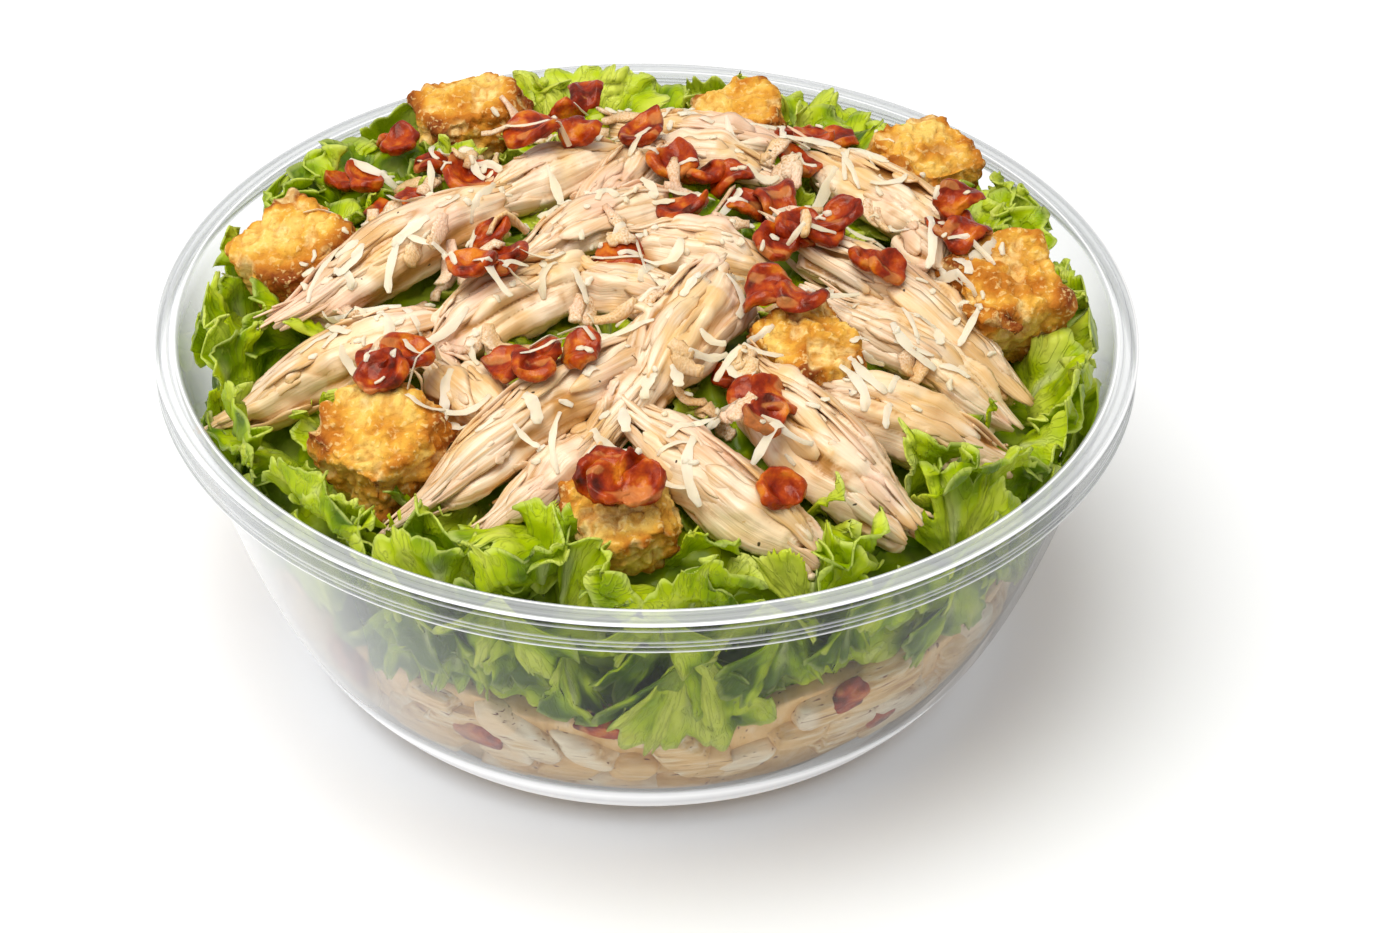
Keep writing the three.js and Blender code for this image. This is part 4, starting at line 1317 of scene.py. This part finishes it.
# %% Leaves on the heap
TIP_HEIGHT = 73  # above this, leaf tips are eased down
TIP_EASE = 0.55


def heap_leaf(row, i, draw, blank):
    """A leaf that grows up and out from a ring on the heap."""
    angle = (i + draw.uniform(-0.3, 0.3)) / row["count"] * TURN + row.get("shift", 0)
    r = row["root"] + draw.normal(0, 2)
    length = row["length"] * draw.uniform(0.85, 1.2)
    spread, curl = draw.uniform(0.8, 1.1), draw.uniform(-0.5, 0.5)
    points, crest = leaf(draw, blank, length, spread, row["frill"], curl)
    lift = math.radians(draw.normal(row["lift"], row["vary"]))
    root = (r * math.cos(angle), r * math.sin(angle), row.get("z", heap_height(r) - 4))
    points = set_leaf(points, root, angle + draw.normal(0, 0.35), lift, draw.normal(0, 0.2))
    high = np.maximum(points[:, 2] - TIP_HEIGHT, 0)
    points[:, 2] -= high * TIP_EASE
    return inside_wall(points), crest


# Root is the ring's radius and z its height, lift is in degrees and varies from leaf to leaf.
RIM_LEAVES = [
    dict(name="rim_outer", count=22, root=79, length=20, lift=84, vary=12, frill=4.4, z=56),
    dict(name="rim_middle", count=20, root=72, length=23, lift=62, vary=14, frill=4.8, z=57, shift=0.15),
    dict(name="rim_inner", count=19, root=65, length=22, lift=44, vary=14, frill=4.8, shift=0.2),
]
HEAP_LEAVES = [
    dict(name="heap_outer", count=17, root=56, length=20, lift=32, vary=14, frill=4.4, shift=0.1),
    dict(name="heap_middle", count=12, root=46, length=15, lift=20, vary=8, frill=3.0),
    dict(name="heap_inner", count=8, root=24, length=14, lift=14, vary=6, frill=2.8),
]
leaves = [grow(row, 21 + i, heap_leaf, FINE_BLANK) for i, row in enumerate(RIM_LEAVES)]
leaves += [grow(row, 25 + i, heap_leaf, SMALL_BLANK) for i, row in enumerate(HEAP_LEAVES)]


# %% [markdown]
# ### Leaves at the wall
# Between the mix and the rim, leaves hang down behind the plastic and press flat against it. They
# could be modelled one by one, but they are many and each shows only a frill. So they are the small
# blank again, turned to hang in three rows, and moved out until they follow the curve of the wall.

# %% Leaves that hang against the wall
HANG = -92  # degrees: straight down, and a little back


def hung(points, angle, top, deep, lift, roll):
    """Hangs a leaf from its root near the wall, and lets it follow the wall's curve."""
    r = wall_inner(top) - deep
    root = (r * math.cos(angle), r * math.sin(angle), top)
    points = set_leaf(points, root, angle, math.radians(lift), roll)
    curve = wall_inner(top) - wall_inner(points[:, 2])
    points[:, 0] -= np.cos(angle) * curve
    points[:, 1] -= np.sin(angle) * curve
    return points


def wall_leaf(row, i, draw, blank):
    """A leaf that hangs down to a little above the mix."""
    angle = (i + draw.uniform(-0.3, 0.3)) / row["count"] * TURN + row["shift"]
    bottom = mix_top(angle) + row["above"] + draw.uniform(-2, 2)
    length = max(row["top"] - bottom, 9)
    spread, curl = draw.uniform(0.7, 1.0), draw.uniform(-0.3, 0.3)
    points, crest = leaf(draw, blank, length, spread, row["frill"], curl)
    lift = HANG + draw.normal(0, 8)
    points = hung(points, angle, row["top"], row["deep"], lift, draw.normal(0, 0.3))
    # Painted light and shade: crests lighter still, and the row's own painted shade.
    return inside_wall(points, 0.35), 1.8 * crest + row["tint"]


# Top is the height of the roots, deep how far in from the wall they are, above the room left
# between the leaf tips and the mix, and the last value the painted shade of the row, darker lower down.
WALL_LEAVES = [
    dict(name="wall_high", count=24, shift=0.05, top=67, above=16, deep=2.0, frill=3.6, tint=-0.2),
    dict(name="wall_middle", count=26, shift=0.18, top=61, above=8, deep=3.2, frill=3.8, tint=-0.7),
    dict(name="wall_low", count=28, shift=0.1, top=54, above=1, deep=3.6, frill=3.6, tint=-0.8),
]
side_leaves = [grow(row, 33 + i, wall_leaf, SMALL_BLANK, True) for i, row in enumerate(WALL_LEAVES)]


# %% One pale leaf that hangs lower than the rest
def hanging_leaf(row, i, draw, blank):
    points, crest = leaf(draw, blank, row["length"], row["spread"], row["frill"], row["curl"])
    points = hung(points, math.radians(row["heading"]), row["top"], row["deep"], HANG, 0)
    # Crests painted lighter, on the leaf's own pale tone.
    return inside_wall(points, 0.25), 1.6 * crest + row["tint"]


PALE_LEAF = dict(
    name="pale_leaf", count=1, heading=-83, top=58, deep=3.0,
    length=31, spread=0.55, frill=4.6, curl=0.2, tint=0.8,
)
side_leaves.append(grow(PALE_LEAF, 77, hanging_leaf, FINE_BLANK, True))

# %% [markdown]
# ### Under the leaves
# Between the leaves the eye meets darker folds, and never a hole through the heap. More leaves could
# close the gaps, at many more faces. The heap's own solid does it cheaply: folded at its surface, it
# lies a little below the leaves as a core, and its folds are painted darker, as shade deep in the heap.

# %% Core of the heap
CORE_FINE = 1.3
CORE_WALL_GAP = 5
FOLD_DEPTH = 3.0

core = copy_of("lettuce", "lettuce_core")
remeshed(core, CORE_FINE, 2)
core_points = points_of(core)
flat = np.hypot(core_points[:, 0], core_points[:, 1])
ceiling = heap_height(flat) + mound(core_points[:, 0], core_points[:, 1]) - 1.0
sunk = np.minimum(core_points[:, 2], ceiling)
drawn = np.minimum(1, (wall_inner(core_points[:, 2]) - CORE_WALL_GAP) / np.maximum(flat, 1))
core_points = np.column_stack([core_points[:, 0] * drawn, core_points[:, 1] * drawn, sunk])
folds = np.abs(noise(core_points / 6, 5)) + 0.45 * np.abs(noise(core_points / 2.7, 6))
core_points += normals_of(core) * (FOLD_DEPTH * (folds - 0.6))[:, None]
set_points(core, core_points)
halfway = np.full(len(folds), 0.5)
# The last two values come from the folds: the third is painted shade, the core darker than the leaves
# and darkest down in its folds.
note(core, "leaf", np.column_stack([halfway, np.clip(folds, 0.3, 1), folds - 0.7]))
smooth_shading(core)
print("the core is", round(core_points[:, 2].max(), 1), "mm high")


# %% Things dropped from above
def surface_below(x, y, trees):
    """The highest point of some pieces at a place in plan, and its normal."""
    best = None
    for tree, low, high in trees:
        if not (low[0] <= x <= high[0] and low[1] <= y <= high[1]):
            continue
        hit, normal, _, _ = tree.ray_cast(Vector((x, y, 150)) * MM, DOWN)
        if hit and (best is None or hit.z > best[0].z):
            best = (hit, normal)
    return best


core_trees = [boxed_tree(core)]


def gap_places(draw, count, spread, apart, tries=6000):
    """Places in plan where no topping covers the lettuce, some way apart."""
    places = []
    for _ in range(tries):
        r = spread * math.sqrt(draw.uniform())
        angle = draw.uniform(0, TURN)
        x, y = r * math.cos(angle), r * math.sin(angle)
        bare = surface_below(x, y, core_trees)
        topped = surface_below(x, y, topping_trees)
        if not bare or (topped and topped[0].z > bare[0].z):
            continue
        if all(math.hypot(x - px, y - py) > apart for px, py, _ in places):
            places.append((x, y, bare[0].z / MM))
        if len(places) == count:
            break
    return places


# %% Tufts in the gaps
TUFT_RISE = 5  # how far a tuft stands above the core
TUFT_ROOT = 4  # how far below the core it is rooted
TUFT_FRILL = 3.0
TUFT_EASE = 0.8


def tuft(row, i, draw, blank):
    """A short leaf that stands up between two toppings."""
    x, y, z = row["places"][i]
    length, spread, curl = draw.uniform(9, 13), draw.uniform(0.9, 1.3), draw.uniform(-0.6, 0.6)
    points, crest = leaf(draw, blank, length, spread, TUFT_FRILL, curl)
    lift = math.radians(draw.uniform(35, 80))
    root = (x, y, z - TUFT_ROOT)
    points = set_leaf(points, root, draw.uniform(0, TURN), lift, draw.normal(0, 0.3))
    high = np.maximum(points[:, 2] - z - TUFT_RISE, 0)
    points[:, 2] -= high * TUFT_EASE
    return points, crest


tuft_places = gap_places(np.random.default_rng(51), count=46, spread=64, apart=7)
tuft_row = {"name": "tufts", "count": len(tuft_places), "places": tuft_places}
leaves.append(grow(tuft_row, 52, tuft, SMALL_BLANK))

# %% [markdown]
# ### What a leaf looks like
# A lettuce leaf is yellow-green where light comes through it and deep green in the shade of its folds,
# with a pale rib and fine veins, and it is a little wet. One flat green would look like paper. So the
# tone kept with each leaf moves it along a ramp of greens: its own random tone, with painted light
# and shade added, lighter on the crests of its ruffles, darker in their hollows and in the lower rows
# at the wall. The rib and veins are drawn from each point's place on its leaf, the very edge is
# painted paler, partly its pale margin and partly a painted highlight, and a translucent shader lets
# light through the blade.

# %% Lettuce finish
THROUGH = 0.38  # share of the light that comes through the blade

leaf_look = Finish(
    "lettuce_leaf", Roughness=0.34, Specular_IOR_Level=0.3, Coat_Weight=0.18, Coat_Roughness=0.1
)
leaf_look.skin.inputs["Specular Tint"].default_value = (0.9, 1.0, 0.45, 1)
spot = leaf_look.noted("leaf", "Vector")
across = leaf_look.node("ShaderNodeSeparateXYZ", None, {0: spot})
_, down, tint = [Wire(leaf_look, socket) for socket in across.socket.node.outputs]
cells = leaf_look.speckle(5, 2.0)
# Painted light and shade: the noted tone makes crests lighter and folds darker.
tones = leaf_look.ramp(cells + 0.26 * tint - 0.12, [
    (0.22, (0.08, 0.16, 0.001)), (0.34, (0.32, 0.47, 0.001)),
    (0.48, (0.61, 0.74, 0.004)), (0.70, (0.86, 0.91, 0.12)),
])
rib = (1 - leaf_look.size_of(across).between(0.02, 0.14)) * (1 - down.between(0.45, 0.95))
veins = leaf_look.clouds(spot, (9.0, 2.2, 3.0), 2.0)
vein = 1 - leaf_look.size_of(veins - 0.5).between(0.0, 0.05)
pale = leaf_look.mixed((1 - down.between(0.1, 0.6)) * 0.5 + vein * 0.18, tones, (0.72, 0.80, 0.12))
ribbed = leaf_look.mixed(rib * 0.8, pale, (0.76, 0.80, 0.36))
# The very edge is painted paler: partly the leaf's pale margin, partly a painted highlight.
margin = leaf_look.mixed(down.between(0.93, 0.99) * 0.5, ribbed, (0.80, 0.86, 0.26))
leaf_look.colour(margin)
pucker = leaf_look.speckle(1.6, 2.0)
leaf_look.relief(cells + 0.2 * vein + 0.7 * pucker, 1.1, 0.85)
lit = leaf_look.node("ShaderNodeBsdfTranslucent", None, {"Color": (0.68, 0.82, 0.01, 1)})
leaf_mix = leaf_look.blended(THROUGH, Wire(leaf_look, leaf_look.skin.outputs[0]), lit)
leaf_look.link(leaf_mix, leaf_look.output.inputs["Surface"])
leaf_look.told()
complete(core, leaf_look.material, ["lettuce"])
for piece in leaves + side_leaves:
    complete(piece, leaf_look.material)

# %% [markdown]
# ## Chicken mix at the bottom
# Through the lower wall shows a mix of sliced chicken, a little bacon and dressing, pressed flat
# against the plastic. Colour alone on a plain layer would look flat from every side. So the lumps
# are real: balls made squarer and lumpier, set in rows over a core, and each pushed in at the wall.

# %% A lump
SQUARENESS = 0.8  # 1 is a ball, and less is more of a block
LOWER_EDGE = 16  # below this height the mix rounds in towards the foot
ROUNDING = 0.03


def lump(draw, angle, r, z, size, roll):
    """A rounded piece at a place near the wall; size is across, deep and high."""
    seed = int(draw.integers(9999))
    squared = np.sign(ball_points) * np.abs(ball_points) ** SQUARENESS
    shape = squared * (1 + 0.22 * noise(ball_points * 1.7, seed))[:, None] * np.array(size) / 2
    shape += ball_points * (0.35 * noise(shape / np.array([9, 2.5, 1.6]), seed + 1))[:, None]
    turn = Matrix.Rotation(angle - math.pi / 2, 3, "Z") @ Matrix.Rotation(roll, 3, "Y")
    return shape @ np.array(turn).T + np.array([r * math.cos(angle), r * math.sin(angle), z])


def pressed(points, gap):
    """Presses a lump against the wall, the floor and its rounded lower edge."""
    points[:, 2] = np.maximum(points[:, 2], FLOOR_TOP + 0.3)
    most = wall_inner(points[:, 2]) - gap - ROUNDING * np.maximum(LOWER_EDGE - points[:, 2], 0) ** 2
    r = np.hypot(points[:, 0], points[:, 1])
    share = np.minimum(1, most / np.maximum(r, 1e-6))
    points[:, :2] *= share[:, None]
    return points


# %% Lumps of the mix
MIX_COLUMNS = 38
LOWEST_COLUMNS = 30  # the lowest row stops short of the full turn
MIX_ROWS = (13, 19, 25, 31, 36)
BELOW_TOP = 3.5  # no lump has its middle nearer to the top of the mix
ARC = 75  # millimetres round the wall for each radian


def mix_lumps(seed):
    """Rows of lumps, each row half a lump on from the one below."""
    draw = np.random.default_rng(seed)
    parts = []
    for row, height in enumerate(MIX_ROWS):
        for i in range(MIX_COLUMNS if row else LOWEST_COLUMNS):
            angle = (i + 0.5 * (row % 2) + draw.uniform(-0.3, 0.3)) / MIX_COLUMNS * TURN
            z = height + draw.normal(0, 1.2)
            if z > mix_top(angle) - BELOW_TOP:
                continue
            size = (draw.uniform(9, 20), draw.uniform(9, 12), draw.uniform(6.5, 12))
            points = lump(draw, angle, wall_inner(z) - 5, z, size, draw.normal(0, 0.5))
            parts.append((pressed(points, draw.uniform(0.3, 1.0)), ball_faces))
    return parts


lumps = joined("mix_chicken", mix_lumps(8))
lump_points = points_of(lumps)
lump_size = len(ball_points)
lump_tones = np.random.default_rng(9).uniform(0, 1, len(lump_points) // lump_size)
note(lumps, "tone", np.repeat(lump_tones, lump_size) + 0.25 * noise(lump_points / 5, 4))
wound = np.arctan2(lump_points[:, 1], lump_points[:, 0]) * ARC
radial = np.hypot(lump_points[:, 0], lump_points[:, 1])
note(lumps, "grain", np.column_stack([lump_points[:, 2] * 2, radial * 2, wound]))
smooth_shading(lumps)
print(len(lump_tones), "lumps in the mix")

# %% Core of the mix
MIX_FINE = 2.0
MIX_WALL_GAP = 3.5

mix_core = copy_of("chicken_bed", "mix_core")
remeshed(mix_core, MIX_FINE, 2)
mix_points = points_of(mix_core)
mix_flat = np.hypot(mix_points[:, 0], mix_points[:, 1])
mix_share = np.minimum(1, (wall_inner(mix_points[:, 2]) - MIX_WALL_GAP) / np.maximum(mix_flat, 1))
mix_points[:, :2] *= mix_share[:, None]
mix_points[:, 2] = np.maximum(mix_points[:, 2] - 0.5, FLOOR_TOP + 0.2)
set_points(mix_core, mix_points)
note(mix_core, "tone", np.full(len(mix_flat), 0.15))
note(mix_core, "grain", mix_points)
smooth_shading(mix_core)

# %% [markdown]
# ### How the mix looks
# Wet sliced chicken is layered pale and tan, glazed with dressing, with a dark sear here and there.
# Each lump could have its own material, but dozens would be hard to keep. So one tone is noted for
# each lump, and a single finish reads it to shift between tanned, plain and dressed.

# %% Mix finish
mix_look = Finish("chicken_mix", Roughness=0.4)
mix_grain = mix_look.noted("grain", "Vector")
layers = mix_look.clouds(mix_grain, (0.4, 0.4, 0.12), 3.0)
sliced = mix_look.ramp(layers, [
    (0.3, (0.46, 0.22, 0.05)), (0.45, (0.68, 0.42, 0.15)),
    (0.58, (0.80, 0.60, 0.33)), (0.72, (0.92, 0.82, 0.63)),
])
mix_tone = mix_look.noted("tone")
tanned = mix_look.mixed((1 - mix_tone.between(0.1, 0.5)) * 0.6, sliced, (0.74, 0.46, 0.18))
dressed = mix_look.mixed(mix_tone.between(0.65, 0.9) * 0.65, tanned, (0.93, 0.85, 0.68))
glaze = mix_look.speckle(5, 3.0)
glazed = mix_look.mixed(glaze.between(0.46, 0.62) * 0.5, dressed, (0.86, 0.54, 0.22))
sear = mix_look.clouds(mix_grain, (0.9, 0.9, 0.16), 2.0)
seared = mix_look.mixed(sear.between(0.64, 0.7), glazed, (0.26, 0.09, 0.03))
mix_look.colour(seared)
mix_look.relief(layers, 0.4, 0.5)
mix_look.told()
complete(mix_core, mix_look.material, ["chicken_bed"])
complete(lumps, mix_look.material)


# %% Bacon in the mix
MIX_BITS = 16


def mix_bacon(seed):
    """Flat bits of bacon between the lumps, close to the wall."""
    draw = np.random.default_rng(seed)
    parts = []
    for i in range(MIX_BITS):
        angle = (i + draw.uniform(-0.4, 0.4)) / MIX_BITS * TURN
        z = draw.uniform(17, float(mix_top(angle)) - 2)
        size = (draw.uniform(6, 12), 3.5, draw.uniform(4, 7))
        points = lump(draw, angle, wall_inner(z) - 1.6, z, size, draw.uniform(-0.8, 0.8))
        parts.append((pressed(points, 0.3), ball_faces))
    return parts


bits = joined("mix_bacon", mix_bacon(12))
note(bits, "fat", noise(points_of(bits) / 3, 2))
smooth_shading(bits)
complete(bits, fried.material)

# %% [markdown]
# ## Cheese
# Hard cheese is shredded into thin flat ribbons, 4 to 13 mm long, with grains that broke off them.
# Geometry nodes could scatter one ribbon over the heap, but all would be alike and stand off it. So
# each ribbon is dropped on to what lies under it and bends over that. Loose scraps of chicken fall
# in the same way, and before the cheese, so that some of it lies on them.


# %% A shred
SHORT = 4  # a shred no longer than this is too short to bend
HANG_SHARE = 0.45  # the most that an end hangs down, as a share of the length
EASINGS = 4  # how often the path is eased so that it spans the hollows

all_trees = topping_trees + core_trees + [boxed_tree(piece) for piece in leaves]
print(len(all_trees), "pieces that a shred can land on")


def shred(draw, x, y, length, width, thick, heading, trees, sides=4):
    """A tapering shred laid over what is below it: its points and faces."""
    bow = draw.normal(0, 0.5)
    steps = np.linspace(-0.5, 0.5, 7 if length > SHORT else 3)
    path = []
    for step in steps:
        turn = heading + bow * step
        px = x + math.cos(turn) * length * step
        py = y + math.sin(turn) * length * step
        found = surface_below(px, py, trees)
        if not found:
            return None
        path.append([px, py, found[0].z / MM])
    path = np.array(path)
    top = path[:, 2].max()
    path[:, 2] = np.maximum(path[:, 2], top - HANG_SHARE * length)
    for _ in range(EASINGS):
        path[1:-1, 2] = np.maximum(path[1:-1, 2], (path[:-2, 2] + path[2:, 2]) / 2)
    path[:, 2] += thick * 0.4
    middle = surface_below(x, y, trees)
    normal = np.array(middle[1]) if middle[1].z > 0.3 else UP
    taper = 0.45 + 0.55 * np.sin(math.pi * np.linspace(0.12, 0.88, len(steps)))
    wide = width * taper * (1 + 0.2 * np.sin(steps * draw.uniform(8, 16)))
    deep = np.full(len(steps), thick) * (0.6 + 0.4 * taper)
    return strip(path, np.tile(normal, (len(steps), 1)), wide, deep, sides)


# %% Scattering shreds
def scatter(seed, count, lengths, widths, thicks, spread):
    """Shreds of random size, dropped all over a round patch in plan."""
    draw = np.random.default_rng(seed)
    parts = []
    while len(parts) < count:
        r = spread * math.sqrt(draw.uniform())
        angle = draw.uniform(0, TURN)
        made = shred(
            draw, r * math.cos(angle), r * math.sin(angle), draw.uniform(*lengths),
            draw.uniform(*widths), draw.uniform(*thicks), draw.uniform(0, math.pi), all_trees,
        )
        if made:
            parts.append(made)
    return parts


# %% Loose scraps of chicken
STRIP_APART = 1.5  # from one strip of a scrap to the next


def scraps(seed):
    """Small torn bits in the gaps: each is a few strips side by side."""
    draw = np.random.default_rng(seed)
    parts = []
    for x, y, _ in gap_places(draw, count=60, spread=58, apart=4.5):
        heading = draw.uniform(0, math.pi)
        length = draw.uniform(5, 10)
        for k in range(draw.integers(1, 4)):
            aside = (k - 1) * STRIP_APART + draw.normal(0, 0.3)
            along = draw.normal(0, 1.2)
            px = x - math.sin(heading) * aside + math.cos(heading) * along
            py = y + math.cos(heading) * aside + math.sin(heading) * along
            made = shred(
                draw, px, py, length * draw.uniform(0.6, 1.1), draw.uniform(2.2, 3.8),
                draw.uniform(0.9, 1.5), heading + draw.normal(0, 0.15), all_trees, 8,
            )
            if made:
                parts.append(made)
    return parts


loose = joined("chicken_scraps", scraps(61))
loose_points = points_of(loose)
# Painted shade at random over the scraps.
note(loose, "hollow", 0.25 + 0.3 * noise(loose_points / 3, 6))
note(loose, "grain", loose_points * 2.0)
note(loose, "dressing", 0.4 + 0.4 * noise(loose_points / 4, 7))
smooth_shading(loose)
complete(loose, chicken_look.material)
all_trees.append(boxed_tree(loose))

# %% Shreds of cheese
ribbons = scatter(4, 150, lengths=(4, 13), widths=(1.2, 2.6), thicks=(0.35, 0.6), spread=63)
grains = scatter(5, 200, lengths=(1.1, 2.6), widths=(1.0, 1.9), thicks=(0.5, 0.9), spread=66)
print(len(ribbons), "ribbons and", len(grains), "grains of cheese")
cheese = joined("cheese_shreds", ribbons + grains)
apply_modifier(cheese, "BEVEL", width=0.15 * MM, segments=1, limit_method="ANGLE")
smooth_shading(cheese, 60)

# %% [markdown]
# ### How hard cheese looks
# Shreds are pale straw, waxy, and so thin that what is under them shows through a little. Glass-like
# bending would be slow for so many. A share of plain see-through in the shader does nearly the same.

# %% Cheese finish
cheese_look = Finish(
    "hard_cheese", Roughness=0.35, Specular_IOR_Level=0.3, Alpha=0.62,
    Subsurface_Weight=0.12, Subsurface_Scale=0.001,
)
cheese_look.skin.inputs["Subsurface Radius"].default_value = (1.0, 0.85, 0.5)
wax = cheese_look.speckle(4)
cheese_look.colour(cheese_look.ramp(wax, [(0.3, (0.93, 0.83, 0.58)), (0.7, (0.97, 0.91, 0.74))]))
cheese_look.relief(cheese_look.speckle(0.8), 0.2, 0.5)
cheese_look.told()
complete(cheese, cheese_look.material)
